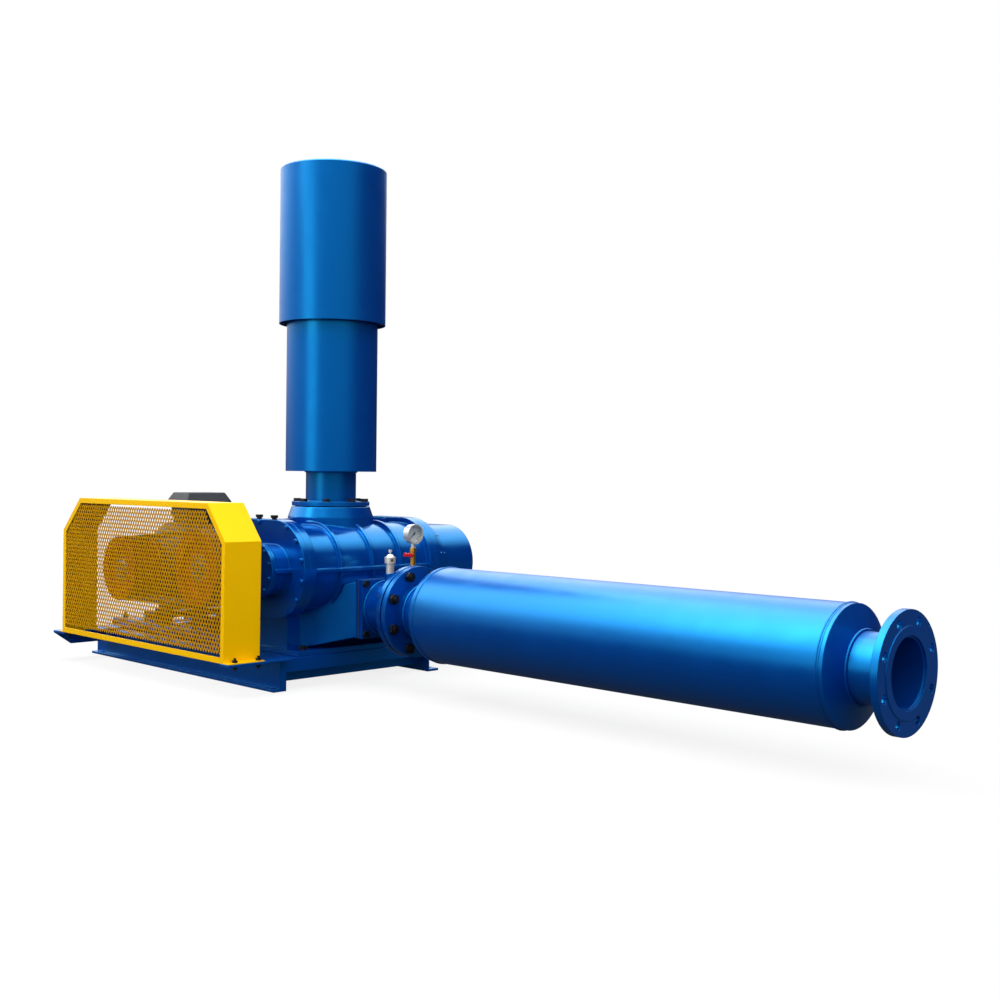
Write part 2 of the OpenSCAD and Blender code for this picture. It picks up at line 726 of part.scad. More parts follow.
// Rotors: round lobe of radius lobe_arc at lobe_reach, and the hollow that it sweeps
lobe_reach = (lobe_tip_r * lobe_tip_r - pitch_r * pitch_r)
    / (2 * lobe_tip_r - 2 * pitch_r * cos(30));
lobe_arc = lobe_tip_r - lobe_reach;
lobe_end = atan2(pitch_r * sin(30), pitch_r * cos(30) - lobe_reach);

function unit(a) = [cos(a), sin(a)];
function turned(p, a) = [p[0] * cos(a) - p[1] * sin(a), p[0] * sin(a) + p[1] * cos(a)];
function lobe_point(t) = let (a = t * lobe_end)
    [lobe_reach, 0] + (lobe_arc - lobe_clearance) * unit(a);
function hollow_point(t) = let (
        s = t < 0 ? -1 : 1, a = s * 30 * pow(abs(t), 1.8),
        q = 2 * pitch_r * unit(a) - lobe_reach * unit(2 * a),
        d = pitch_r * unit(a) - q, n = sqrt(d[0] * d[0] + d[1] * d[1]))
    q + (lobe_arc + lobe_clearance) / n * d;
lobe_steps = 12;
rotor_outline = [for (k = [0:2]) each concat(
    [for (i = [-lobe_steps:lobe_steps]) turned(lobe_point(i / lobe_steps), 120 * k)],
    [for (i = [-lobe_steps + 1:lobe_steps - 1]) turned(hollow_point(i / lobe_steps), 120 * k + 60)])];

module shaft_part(x0, x1, r) { at_x(x0, 0, 0) cylinder(r = r, h = x1 - x0, $fn = 64); }

module rotor(facing, tail) {
    rotate([90, 0, 90]) translate([0, 0, -casing_half + end_gap])
        linear_extrude(2 * casing_half - 2 * end_gap) rotate([0, 0, facing])
            polygon(rotor_outline);
    shaft_part(-casing_half - 38, casing_half + 16.9, shaft_r);
    shaft_part(tail, 0, journal_r);
    shaft_part(0, gear_plate_x + 4, journal_r);
    shaft_part(0, gear_plate_x + 14 + gear_width, gear_seat_r);
    at_x(gear_plate_x + 14 + gear_width, 0, 0) hex_head(30, 14);
}

module drive_rotor() color(STEEL) translate([0, drive_y, shaft_z]) {
    rotor(180, housing_x + 12);
    shaft_part(pulley_face_x + 3, housing_x + 13, drive_end_r);
}

module driven_rotor() color(STEEL) translate([0, driven_y, shaft_z])
    rotor(60, housing_x + 12);

gear_pitch_r = pitch_r;
tooth_module = 2 * gear_pitch_r / gear_teeth;
gear_base_r = gear_pitch_r * cos(20);
function involute_at(r) = r <= gear_base_r ? 0
    : let (a = acos(gear_base_r / r)) tan(a) - a * PI / 180;
function half_tooth(r) = (PI / 2 / gear_teeth - gear_backlash / 2 / gear_pitch_r
    + involute_at(gear_pitch_r) - involute_at(r)) * 180 / PI;
gear_radii = [gear_pitch_r - 1.2 * tooth_module, gear_pitch_r - 0.7 * tooth_module,
    gear_pitch_r - 0.2 * tooth_module, gear_pitch_r + 0.35 * tooth_module,
    gear_pitch_r + 0.92 * tooth_module];

module gear(turn) {
    at_x(gear_plate_x + 14, 0, 0) difference() {
        linear_extrude(gear_width) rotate([0, 0, turn]) polygon([for (k = [0:gear_teeth - 1])
            let (c = k * 360 / gear_teeth) each concat(
                [for (i = [0:4]) gear_radii[i] * unit(c - half_tooth(gear_radii[i]))],
                [for (i = [4:-1:0]) gear_radii[i] * unit(c + half_tooth(gear_radii[i]))])]);
        translate([0, 0, -1]) cylinder(r = gear_seat_r + fit_gap, h = gear_width + 2, $fn = 64);
        for (i = [0:5]) rotate([0, 0, 60 * i]) translate([52, 0, -1])
            cylinder(r = 11, h = gear_width + 2, $fn = 32);
    }
}

module drive_gear() color(STEEL) translate([0, drive_y, shaft_z]) gear(270);
module driven_gear() color(STEEL) translate([0, driven_y, shaft_z])
    gear(90 + 180 / gear_teeth);

module bearing_ring(x) {
    at_x(x, 0, 0) difference() {
        cylinder(r = bearing_r, h = bearing_width, $fn = 96);
        translate([0, 0, -1]) cylinder(r = journal_r + running_gap, h = bearing_width + 2, $fn = 96);
        for (z = [-1, bearing_width - 3]) translate([0, 0, z]) difference() {
            cylinder(r = bearing_r - 7, h = 4, $fn = 96);
            translate([0, 0, -1]) cylinder(r = journal_r + 7, h = 6, $fn = 96);
        }
    }
}

module rotor_bearings() color(STEEL) for (y = [drive_y, driven_y]) translate([0, y, shaft_z]) {
    bearing_ring(housing_x + 42 - bearing_width);
    bearing_ring(gear_plate_x - bearing_width - 4);
}

module seal_ring(x, width) {
    at_x(x, 0, 0) difference() {
        cylinder(r = 42, h = width, $fn = 96);
        translate([0, 0, -1]) cylinder(r = shaft_r + running_gap, h = width + 2, $fn = 96);
    }
}

module shaft_seals() color(RUBBER) {
    for (y = [drive_y, driven_y]) translate([0, y, shaft_z]) {
        seal_ring(housing_x + 57, 12);
        seal_ring(casing_half + 8, 8);
    }
    translate([0, drive_y, shaft_z]) at_x(cover_x, 0, 0) difference() {
        cylinder(r = drive_end_r + 8, h = cover_thick, $fn = 96);
        translate([0, 0, -1]) cylinder(r = drive_end_r + running_gap, h = cover_thick + 2, $fn = 96);
    }
}

// Inlet silencer

module inlet_gasket() color(RUBBER) translate([0, blower_y, inlet_neck_top]) difference() {
    cylinder(r = 101, h = gasket_thick, $fn = 96);
    translate([0, 0, -1]) cylinder(r = pipe_in, h = gasket_thick + 2, $fn = 96);
}

module inlet_bolts() color(BLACK) for (i = [0:7]) rotate_about([0, blower_y], 45 * i)
    translate([inlet_pcd / 2, 0, inlet_flange_z])
        bolt(7.4, inlet_flange_thick + gasket_thick + 18, 13.5, 10);

module inlet_shell() color(BLUE) translate([0, blower_y, 0]) difference() {
    union() {
        translate([0, 0, inlet_flange_z - inlet_flange_thick])
            cylinder(r = inlet_flange_r, h = inlet_flange_thick, $fn = 96);
        translate([0, 0, inlet_flange_z - 5]) cylinder(r = pipe_r,
            h = inlet_shell_z - inlet_flange_z + 40, $fn = 96);
        translate([0, 0, inlet_shell_z]) cylinder(r = inlet_shell_r,
            h = hood_z + hood_overlap - inlet_shell_z, $fn = 96);
    }
    translate([0, 0, inlet_shell_z + sheet + 1]) cylinder(r = inlet_shell_r - sheet,
        h = hood_z + hood_overlap - inlet_shell_z - 2 * sheet - 2, $fn = 96);
    translate([0, 0, 500]) cylinder(r = pipe_in, h = 2000, $fn = 96);
    for (i = [0:7]) rotate([0, 0, 45 * i])
        translate([inlet_pcd / 2, 0, inlet_flange_z - 60]) cylinder(r = inlet_hole_r, h = 80, $fn = 24);
}

module perforated_tube(r, wall, length, rows, cols) {
    difference() {
        cylinder(r = r, h = length, $fn = 96);
        translate([0, 0, -1]) cylinder(r = r - wall, h = length + 2, $fn = 96);
        for (j = [0:rows - 1], i = [0:cols - 1])
            translate([0, 0, length * (j + 0.5) / rows]) rotate([0, 90, 360 / cols * (i + j % 2 / 2)])
                translate([0, 0, r / 2]) cylinder(r = 9, h = r, $fn = 16);
    }
}

module inlet_core() color(STEEL) translate([0, blower_y, inlet_shell_z + sheet + 1])
    perforated_tube(inlet_core_r, 2, hood_z + hood_overlap - inlet_shell_z - 2 * sheet - 2, 6, 6);

module inlet_filter() color([0.85, 0.83, 0.78]) translate([0, blower_y, filter_z])
    difference() {
        union() {
            cylinder(r = filter_r, h = filter_height, $fn = 96);
            for (z = [0, filter_height - filter_rim]) translate([0, 0, z])
                cylinder(r = filter_r + 8, h = filter_rim, $fn = 96);
        }
        translate([0, 0, -1]) cylinder(r = inlet_core_r + 4, h = filter_height - filter_rim + 1,
            $fn = 96);
    }

module inlet_hood() color(BLUE) translate([0, blower_y, 0]) {
    difference() {
        union() {
            translate([0, 0, hood_z]) cylinder(r = hood_r, h = stack_top_z - hood_z - 4, $fn = 96);
            translate([0, 0, stack_top_z - 4 - eps]) cylinder(r1 = hood_r, r2 = hood_r - 4, h = 4, $fn = 96);
        }
        translate([0, 0, hood_z - 1]) cylinder(r = hood_r - sheet,
            h = stack_top_z - hood_z - sheet, $fn = 96);
    }
    for (i = [0:3]) rotate([0, 0, 45 + 90 * i])
        translate([inlet_shell_r + fit_gap, -3, hood_z + 2])
            cube([hood_r - sheet / 2 - inlet_shell_r - fit_gap, 6, hood_overlap - 4]);
}

// Discharge line

// round flange whose sealing face is at y and whose body runs in direction s
module round_flange(y, s, bore, hole_r) {
    difference() {
        union() {
            at_y(0, s > 0 ? y + flange_thick : y - raised_face, discharge_z)
                cylinder(r = flange_r, h = flange_thick - raised_face, $fn = 96);
            at_y(0, s > 0 ? y + flange_thick : y, discharge_z)
                cylinder(r = raised_face_r, h = flange_thick, $fn = 96);
        }
        at_y(0, y + 60, discharge_z) cylinder(r = bore, h = 120, $fn = 96);
        for (i = [0:flange_count - 1])
            translate([0, y + 60, discharge_z]) rotate([90, 0, 0])
                rotate([0, 0, (i + 0.5) * 360 / flange_count])
                translate([flange_pcd / 2, 0, 0]) cylinder(r = hole_r, h = 120, $fn = 32);
    }
}

module pipe_y(y0, y1, r, wall) {
    at_y(0, y1, discharge_z) difference() {
        cylinder(r = r, h = y1 - y0, $fn = 96);
        translate([0, 0, -1]) cylinder(r = r - wall, h = y1 - y0 + 2, $fn = 96);
    }
}

module outlet_stub() color(BLUE) difference() {
    union() {
        box(-square_side / 2, square_side / 2, square_y, square_y + square_thick,
            discharge_z - square_side / 2, discharge_z + square_side / 2);
        at_y(0, square_y + 4, discharge_z)
            cylinder(r = pipe_r, h = square_y + 4 - stub_flange_y + flange_thick / 2 - 20, $fn = 96);
        round_flange(stub_flange_y, 1, pipe_in, joint_hole_r);
        translate([0, relief_y, discharge_z]) cylinder(r = 17, h = pipe_r + 28, $fn = 48);
    }
    at_y(0, square_y + 60, discharge_z)
        cylinder(r = pipe_in, h = square_y - joint_y + 120, $fn = 96);
    for (x = [-1, 1], z = [-1, 1])
        at_y(x * square_pitch / 2, square_y + 40, discharge_z + z * square_pitch / 2)
            cylinder(r = square_hole_r, h = 80, $fn = 32);
    translate([0, relief_y, discharge_z]) cylinder(r = 8, h = 200, $fn = 32);
    translate([gauge_x, gauge_y, discharge_z]) cylinder(r = 7 + fit_gap, h = 200, $fn = 32);
}

module square_gasket() color(RUBBER)
    at_y(0, square_y + square_thick + gasket_thick, discharge_z) difference() {
        translate([-square_side / 2, -square_side / 2, 0])
            cube([square_side, square_side, gasket_thick]);
        translate([0, 0, -1]) cylinder(r = pipe_in, h = gasket_thick + 2, $fn = 96);
        for (x = [-1, 1], z = [-1, 1]) translate([x * square_pitch / 2, z * square_pitch / 2, -1])
            cylinder(r = square_hole_r, h = gasket_thick + 2, $fn = 32);
    }

module square_bolts() color(BLACK) for (x = [-1, 1], z = [-1, 1])
    at_y(x * square_pitch / 2, square_y, discharge_z + z * square_pitch / 2)
        bolt(7, square_thick + gasket_thick + 12, 12, 8);

module discharge_gasket() color(RUBBER) at_y(0, joint_y + flange_thick + gasket_thick, discharge_z)
    difference() {
        cylinder(r = raised_face_r, h = gasket_thick, $fn = 96);
        translate([0, 0, -1]) cylinder(r = pipe_in, h = gasket_thick + 2, $fn = 96);
    }

module discharge_bolts() color(BLACK) for (i = [0:flange_count - 1])
    translate([0, joint_y, discharge_z]) rotate([90, 0, 0])
        rotate([0, 0, (i + 0.5) * 360 / flange_count]) translate([flange_pcd / 2, 0, 0])
            stud(10, 2 * flange_thick + gasket_thick, 16.5, 13, 6);

// coned cap from the body's edge to the neck, hollow
module silencer_cap(y, s) {
    translate([0, y, discharge_z]) rotate([s > 0 ? 90 : -90, 0, 0]) difference() {
        cylinder(r1 = silencer_r, r2 = pipe_r + 4, h = cap_rise, $fn = 96);
        translate([0, 0, -sheet]) cylinder(r1 = silencer_r - sheet / 2, r2 = pipe_r + 3,
            h = cap_rise, $fn = 96);
        translate([0, 0, -1]) cylinder(r = pipe_in, h = cap_rise + 2, $fn = 96);
    }
}

module discharge_silencer() color(BLUE) {
    y0 = blower_y - body_start;
    y1 = blower_y - body_end;
    pipe_y(y1, y0, silencer_r, sheet);
    silencer_cap(y1, 1);
    silencer_cap(y0, -1);
    for (y = [y1 + weld_inset, y0 - weld_inset + 4]) at_y(0, y, discharge_z) difference() {
        cylinder(r = silencer_r + 1, h = 4, $fn = 96);
        translate([0, 0, -1]) cylinder(r = silencer_r - 1, h = 6, $fn = 96);
    }
}

// flanged pipe ends, each standing on the end of a coned cap
module discharge_necks() color(BLUE) {
    pipe_y(blower_y - body_start + cap_rise, joint_y + flange_thick - 2, pipe_r, pipe_wall);
    pipe_y(end_y + 6, blower_y - body_end - cap_rise, pipe_r, pipe_wall);
    round_flange(joint_y + flange_thick, -1, pipe_r - 1, joint_hole_r);
    mirror_y(end_y) round_flange(end_y, -1, pipe_r - 0.01, flange_hole_r);
}

// mirrors the children in the plane at this y
module mirror_y(y) { translate([0, y, 0]) mirror([0, 1, 0]) translate([0, -y, 0]) children(); }

module discharge_core() color(STEEL) {
    length = body_end - body_start + 2 * (cap_rise - sheet) - 0.6;
    at_y(0, blower_y - (body_start + body_end) / 2 + length / 2, discharge_z)
        perforated_tube(pipe_r, 2, length, 10, 6);
}

// Relief valve and gauge

module relief_body() color(STEEL) translate([0, relief_y, discharge_z + pipe_r + 28]) difference() {
    union() {
        cylinder(r = 13, h = 32, $fn = 48);
        translate([0, 0, 32 - eps]) cylinder(r = 18, h = 20, $fn = 48);
        translate([0, 0, 52 - eps]) cylinder(r1 = 14, r2 = 8, h = 8, $fn = 48);
    }
    translate([0, 0, -1]) cylinder(r = 7, h = 50, $fn = 32);
    translate([0, 0, -1]) cylinder(r = 3 + running_gap, h = 80, $fn = 32);
    translate([0, 0, 42]) rotate([90, 0, -20]) cylinder(r = 5, h = 30, $fn = 32);
}

module relief_pin() color(STEEL) translate([0, relief_y, 0]) {
    translate([0, 0, discharge_z + pipe_r + 34]) cylinder(r = 6, h = 12, $fn = 32);
    translate([0, 0, discharge_z + pipe_r + 34])
        cylinder(r = 3, h = relief_top - discharge_z - pipe_r - 34, $fn = 32);
    translate([0, 0, relief_top - 8]) cylinder(r = 5.5, h = 8, $fn = 32);
}

module gauge_nipple() color(STEEL) translate([gauge_x, gauge_y, 0]) {
    translate([0, 0, discharge_z + 76]) cylinder(r = 7, h = 66, $fn = 32);
    translate([0, 0, discharge_z + 84]) cylinder(r = 11, h = 14, $fn = 32);
}

cock_z = discharge_z + 142;
gauge_bottom = gauge_z - gauge_r;

module cock_body() color(BRASS) translate([gauge_x, gauge_y, cock_z]) difference() {
    union() {
        cylinder(r = 9, h = 22, $fn = 6);
        cylinder(r = 8, h = gauge_bottom - cock_z - 12, $fn = 32);
        translate([0, 0, gauge_bottom - cock_z - 24]) cylinder(r = 11, h = 12, $fn = 6);
        translate([0, 0, 32]) rotate([0, -90, 0]) cylinder(r = 8, h = 14, $fn = 32);
    }
    translate([0, 0, -1]) cylinder(r = 3, h = 80, $fn = 24);
}

// red butterfly handle that turns about the cock's side spindle
module cock_handle() color(RED) translate([gauge_x - 14.3, gauge_y, cock_z + 32])
    rotate([0, -90, 0]) {
        cylinder(r = 6, h = 9, $fn = 32);
        translate([-4.5, -15, 2]) cube([9, 30, 6]);
        for (s = [-1, 1]) translate([0, s * 15, 2]) cylinder(r = 6.5, h = 6, $fn = 32);
    }

module gauge_case() color(STEEL) {
    at_y(gauge_x, gauge_y + gauge_depth / 2, gauge_z) difference() {
        union() {
            cylinder(r = gauge_r - 2, h = gauge_depth, $fn = 96);
            translate([0, 0, gauge_depth - 8]) cylinder(r = gauge_r, h = 8, $fn = 96);
        }
        translate([0, 0, 3]) cylinder(r = gauge_r - 4, h = gauge_depth, $fn = 96);
    }
    translate([gauge_x, gauge_y, gauge_bottom - 12]) difference() {
        cylinder(r = 7, h = 15, $fn = 6);
        translate([0, 0, -1]) cylinder(r = 2.5, h = 10, $fn = 24);
    }
}

dial_y = gauge_y - gauge_depth / 2 + 12;

module gauge_dial() color([0.93, 0.93, 0.92]) at_y(gauge_x, dial_y + 1.5, gauge_z) difference() {
    union() {
        cylinder(r = gauge_r - 4 - fit_gap, h = 1.5, $fn = 96);
        translate([0, 0, -gauge_depth + 16.5]) cylinder(r = 4, h = gauge_depth - 16.5, $fn = 32);
    }
    translate([0, 0, -8]) cylinder(r = 1.2 + running_gap, h = 20, $fn = 24);
}

// needle at zero, pointing down to the left
module gauge_pointer() color(BLACK) at_y(gauge_x, dial_y, gauge_z) {
    translate([0, 0, -6]) cylinder(r = 1.2, h = 8, $fn = 24);
    translate([0, 0, 1]) cylinder(r = 3, h = 1.5, $fn = 32);
    rotate([0, 0, 225]) linear_extrude(0.8) translate([0, 0])
        polygon([[-9, -2], [-9, 2], [0, 1.4], [21, 0.35], [21, -0.35], [0, -1.4]]);
}

module gauge_lens() color([0.85, 0.9, 0.95, 0.35])
    at_y(gauge_x, gauge_y - gauge_depth / 2 + 4.5, gauge_z)
        cylinder(r = gauge_r - 4 - fit_gap, h = 2.5, $fn = 96);

// Belt drive

module pulley(rim_r, pitch, bore, hub) {
    at_x(0, 0, 0) difference() {
        union() {
            difference() {
                cylinder(r = rim_r, h = pulley_width, $fn = 128);
                translate([0, 0, 16 + 22]) cylinder(r = pitch - 29, h = 200, $fn = 96);
                translate([0, 0, -1]) cylinder(r = pitch - 29, h = 17, $fn = 96);
            }
            translate([0, 0, 12]) cylinder(r = hub, h = 62, $fn = 96);
        }
        for (i = [0:belt_count - 1]) translate([0, 0, groove_edge + i * groove_pitch])
            rotate_extrude($fn = 128) polygon([[pitch - groove_depth, -groove_half + 3.6],
                [rim_r + 1, -groove_half - 1.4], [rim_r + 1, groove_half + 1.4],
                [pitch - groove_depth, groove_half - 3.6]]);
        translate([0, 0, 8]) cylinder(r1 = bore + fit_gap, r2 = bore - 4 + fit_gap, h = 70, $fn = 96);
        for (i = [0:5]) rotate([0, 0, 60 * i]) translate([(hub + pitch - 29) / 2, 0, 0])
            cylinder(r = (pitch - 29 - hub) / 2 - 5, h = 60, $fn = 48);
    }
}

module bush(shaft, bore, hub) {
    difference() {
        at_x(10, 0, 0) cylinder(r1 = bore - 4 * 2 / 70, r2 = bore - 4 * 64 / 70, h = 62, $fn = 96);
        at_x(0, 0, 0) cylinder(r = shaft + fit_gap, h = 100, $fn = 96);
        for (i = [0:2]) rotate([120 * i, 0, 0]) at_x(4, 0, bore - 10) cylinder(r = 5, h = 12, $fn = 32);
    }
}

module blower_pulley() color(RUST) translate([pulley_face_x, drive_y, shaft_z])
    pulley(blower_rim_r, blower_pitch_d / 2, 46, 60);
module blower_bush() color(STEEL) translate([pulley_face_x, drive_y, shaft_z])
    bush(drive_end_r, 46, 60);
module motor_pulley() color(RUST) translate([pulley_face_x, motor_y, motor_z])
    pulley(motor_rim_r, motor_pitch_d / 2, 46, 58);
module motor_bush() color(STEEL) translate([pulley_face_x, motor_y, motor_z])
    bush(motor_shaft_r, 46, 58);

// belts are two stacked bands, narrower in the groove than above it
belt_top = rim_height - 0.5;
belt_step = -3;
belt_low = -groove_depth + 5;
belt_half_top = groove_half - 0.8 - belt_gap;
belt_half_low = groove_half - 2.2 - belt_gap;

// outline of a belt whose face lies at height d above the pitch line
module belt_outline(d) {
    r1 = blower_pitch_d / 2 + d;
    r2 = motor_pitch_d / 2 + d;
    far = [belt_span, 0];
    circle(r1, $fn = 128);
    translate(far) circle(r2, $fn = 128);
    polygon([(r1 - fit_gap) * unit(90 - belt_lean), far + (r2 - fit_gap) * unit(90 - belt_lean),
        far + (r2 - fit_gap) * unit(belt_lean - 90), (r1 - fit_gap) * unit(belt_lean - 90)]);
}

module belt_band(low, high, half) {
    translate([0, 0, -half]) linear_extrude(2 * half) difference() {
        belt_outline(high);
        belt_outline(low);
    }
}

// belts lie in planes across X: local x points to the motor
module v_belts() color(RUBBER) for (i = [0:belt_count - 1])
    translate([pulley_face_x + groove_edge + i * groove_pitch, drive_y, shaft_z])
        rotate([belt_tilt, 0, 0]) rotate([90, 0, 90]) {
            belt_band(belt_step, belt_top, belt_half_top);
            belt_band(belt_low, belt_step, belt_half_low);
        }

// Motor

motor_front = shoulder_x + 14;
shield_nose_r = 98;
terminal_base = motor_z + motor_r + 4;
terminal_half_x = terminal_length / 2 + 3 - lid_overhang;
terminal_half_y = terminal_width / 2 + 3 - lid_overhang;
barrel_x0 = motor_front + shield_cone + 12;
barrel_x1 = motor_back - 150;

module motor_frame() color(GREY) difference() {
    union() {
        at_x(barrel_x0, motor_y, motor_z) cylinder(r = barrel_r,
            h = barrel_x1 - barrel_x0, $fn = 96);
        for (a = [0:15:345]) if (a < 60 || a > 120) if (a < 240 || a > 300)
            translate([barrel_x0 + 6, motor_y, motor_z]) rotate([a - 90 + 90, 0, 0])
                translate([0, barrel_r - 4, -2])
                cube([barrel_x1 - barrel_x0 - 12, fin_depth + 4, 4]);
        for (s = [-1, 1]) box(foot_x1 - 36, foot_x2 + 36, motor_y + s * foot_y - foot_half,
            motor_y + s * foot_y + foot_half, rail_top, rail_top + 22);
        for (s = [-1, 1], x = [foot_x1, foot_x2]) box(x - 9, x + 9,
            motor_y + s * 115 - 32, motor_y + s * 115 + 32, rail_top, rail_top + 130);
        box(terminal_x - terminal_half_x + 5, terminal_x + terminal_half_x - 5,
            motor_y - terminal_half_y + 5, motor_y + terminal_half_y - 5,
            motor_z + barrel_r - 30, terminal_base);
    }
    at_x(barrel_x0 - 1, motor_y, motor_z) cylinder(r = barrel_r - 14,
        h = barrel_x1 - barrel_x0 + 2, $fn = 96);
    for (s = [-1, 1], x = [foot_x1, foot_x2])
        translate([x, motor_y + s * foot_across / 2, rail_top - 1])
            cylinder(r = 9.25, h = 30, $fn = 32);
    at_cable() cylinder(r = 20, h = 90, $fn = 32);
}

module at_cable() { translate([terminal_x, motor_y, motor_z + motor_r - 80]) children(); }

module motor_end_shields() color(GREY) translate([0, motor_y, motor_z]) difference() {
    union() {
        at_x(motor_front, 0, 0) cylinder(r1 = shield_nose_r, r2 = barrel_r, h = shield_cone, $fn = 96);
        at_x(motor_front + shield_cone - eps, 0, 0) cylinder(r = barrel_r, h = 12, $fn = 96);
        at_x(barrel_x0 - 6, 0, 0) cylinder(r = barrel_r - 14 - fit_gap, h = 16, $fn = 96);
        at_x(barrel_x1, 0, 0) cylinder(r = barrel_r, h = 24, $fn = 96);
        at_x(barrel_x1 - 10, 0, 0) cylinder(r = barrel_r - 14 - fit_gap, h = 20, $fn = 96);
    }
    at_x(motor_front - 1, 0, 0) cylinder(r = motor_shaft_r + 2.5 + running_gap, h = 900, $fn = 96);
    at_x(barrel_x0 - 8, 0, 0) cylinder(r = barrel_r - 34, h = 40, $fn = 96);
}

module motor_fan_cover() color(GREY) translate([0, motor_y, motor_z]) difference() {
    at_x(barrel_x1 + 4, 0, 0) cylinder(r = barrel_r + 4, h = motor_back - barrel_x1 - 4, $fn = 96);
    at_x(barrel_x1 + 3, 0, 0) cylinder(r = barrel_r + fit_gap,
        h = motor_back - barrel_x1 - 5, $fn = 96);
    for (r = [60:24:barrel_r - 20], a = [0:2]) rotate([120 * a, 0, 0]) at_x(motor_back - 10, 0, 0)
        for (k = [-5:5]) rotate([0, 0, k * 10]) translate([r, 0, 0]) cylinder(r = 4.5, h = 20, $fn = 16);
}

module motor_rotor() color(STEEL) translate([0, motor_y, motor_z]) {
    shaft_part(pulley_face_x + 4, shoulder_x, motor_shaft_r);
    shaft_part(shoulder_x - eps, motor_back - 70, motor_shaft_r + 2.5);
    shaft_part(barrel_x0 + 60, barrel_x1 - 70, barrel_r - 40);
}

module motor_fan() color(BLACK) translate([motor_back - 112, motor_y, motor_z]) difference() {
    union() {
        shaft_part(0, 40, 48);
        shaft_part(34, 40, barrel_r - 12);
        for (a = [0:45:315]) rotate([a, 0, 0]) translate([4, 40, -3]) cube([32, barrel_r - 54, 6]);
    }
    at_x(-1, 0, 0) cylinder(r = motor_shaft_r + 2.5 + fit_gap, h = 60, $fn = 96);
}

module motor_bolts() color(BLACK) for (s = [-1, 1], x = [foot_x1, foot_x2])
    translate([x, motor_y + s * foot_y, rail_top + 22]) {
        bolt(8, rail_top + 22 - rail_face + 10, 13.5, 11);
        translate([0, 0, rail_face - rail_top - 22 - 19]) cylinder(r = 14, h = 9, $fn = 32);
    }

module terminal_box() color(GREY) difference() {
    box(terminal_x - terminal_half_x, terminal_x + terminal_half_x,
        motor_y - terminal_half_y, motor_y + terminal_half_y, terminal_base, terminal_top - 20);
    box(terminal_x - terminal_half_x + 6, terminal_x + terminal_half_x - 6,
        motor_y - terminal_half_y + 6, motor_y + terminal_half_y - 6,
        terminal_base + 6, terminal_top);
    at_cable() cylinder(r = 20, h = 120, $fn = 32);
    at_x(terminal_x + 40, motor_y, terminal_base + 27) cylinder(r = 13 + fit_gap, h = 100, $fn = 48);
}

// lid like a shallow hat, its skirt hangs over the top of the box
module terminal_lid() color(BLACK) {
    x0 = terminal_x - terminal_half_x - lid_overhang;
    x1 = terminal_x + terminal_half_x + lid_overhang;
    y0 = motor_y - terminal_half_y - lid_overhang;
    y1 = motor_y + terminal_half_y + lid_overhang;
    difference() {
        hull() {
            box(x0, x1, y0, y1, terminal_top - 26, terminal_top - 14);
            box(x0 + 14, x1 - 14, y0 + 14, y1 - 14, terminal_top - 2, terminal_top);
        }
        box(x0 + lid_overhang - 0.5, x1 - lid_overhang + 0.5, y0 + lid_overhang - 0.5,
            y1 - lid_overhang + 0.5, terminal_top - 27, terminal_top - 20);
    }
    for (x = [x0 + 16, x1 - 16], y = [y0 + 16, y1 - 16]) translate([x, y, terminal_top - 4])
        cylinder(r = 6, h = 7, $fn = 24);
}

module cable_gland() color(BLACK)
    at_x(terminal_x + terminal_half_x - 6, motor_y, terminal_base + 27) difference() {
        union() {
            cylinder(r = 13, h = 34, $fn = 48);
            translate([0, 0, 6]) cylinder(r = 19, h = 9, $fn = 6);
            translate([0, 0, 20]) cylinder(r = 17, h = 16, $fn = 6);
        }
        translate([0, 0, -1]) cylinder(r = 9, h = 60, $fn = 48);
    }

// Shown nodes

base_frame();
slide_rails();
tension_screws();
rail_bolts();
guard_shell();
guard_mesh();
guard_bolts();
outlet_box();
box_bolts();
casing();
drive_end_plate();
drive_end_cover();
gear_end_plate();
gear_cover();
plate_bolts();
oil_plugs();
sight_glass();
drive_rotor();
driven_rotor();
drive_gear();
driven_gear();
rotor_bearings();
shaft_seals();
inlet_gasket();
inlet_bolts();
inlet_shell();
inlet_core();
inlet_filter();
inlet_hood();
outlet_stub();
square_gasket();
square_bolts();
discharge_gasket();
discharge_bolts();
discharge_silencer();
discharge_necks();
discharge_core();
relief_body();
relief_pin();
gauge_nipple();
cock_body();
cock_handle();
gauge_case();
gauge_dial();
gauge_pointer();
gauge_lens();
blower_pulley();
blower_bush();
motor_pulley();
motor_bush();
v_belts();
motor_frame();
motor_end_shields();
motor_fan_cover();
motor_rotor();
motor_fan();
motor_bolts();
terminal_box();
terminal_lid();
cable_gland();
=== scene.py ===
# %% [markdown]
# A belt-driven roots blower on its skid, dressed for the camera.
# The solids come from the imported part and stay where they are, so this lesson is about
# finishes, light and the fine pieces that a solid model is too coarse for.
# Everything is in metres in the part's own frame: X along the rotor shafts, Y from the
# discharge pipe to the motor, Z up, and the floor at zero.

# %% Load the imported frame
import json
from math import cos, radians, sin, tau

import bmesh
import bpy
from mathutils import Matrix, Vector


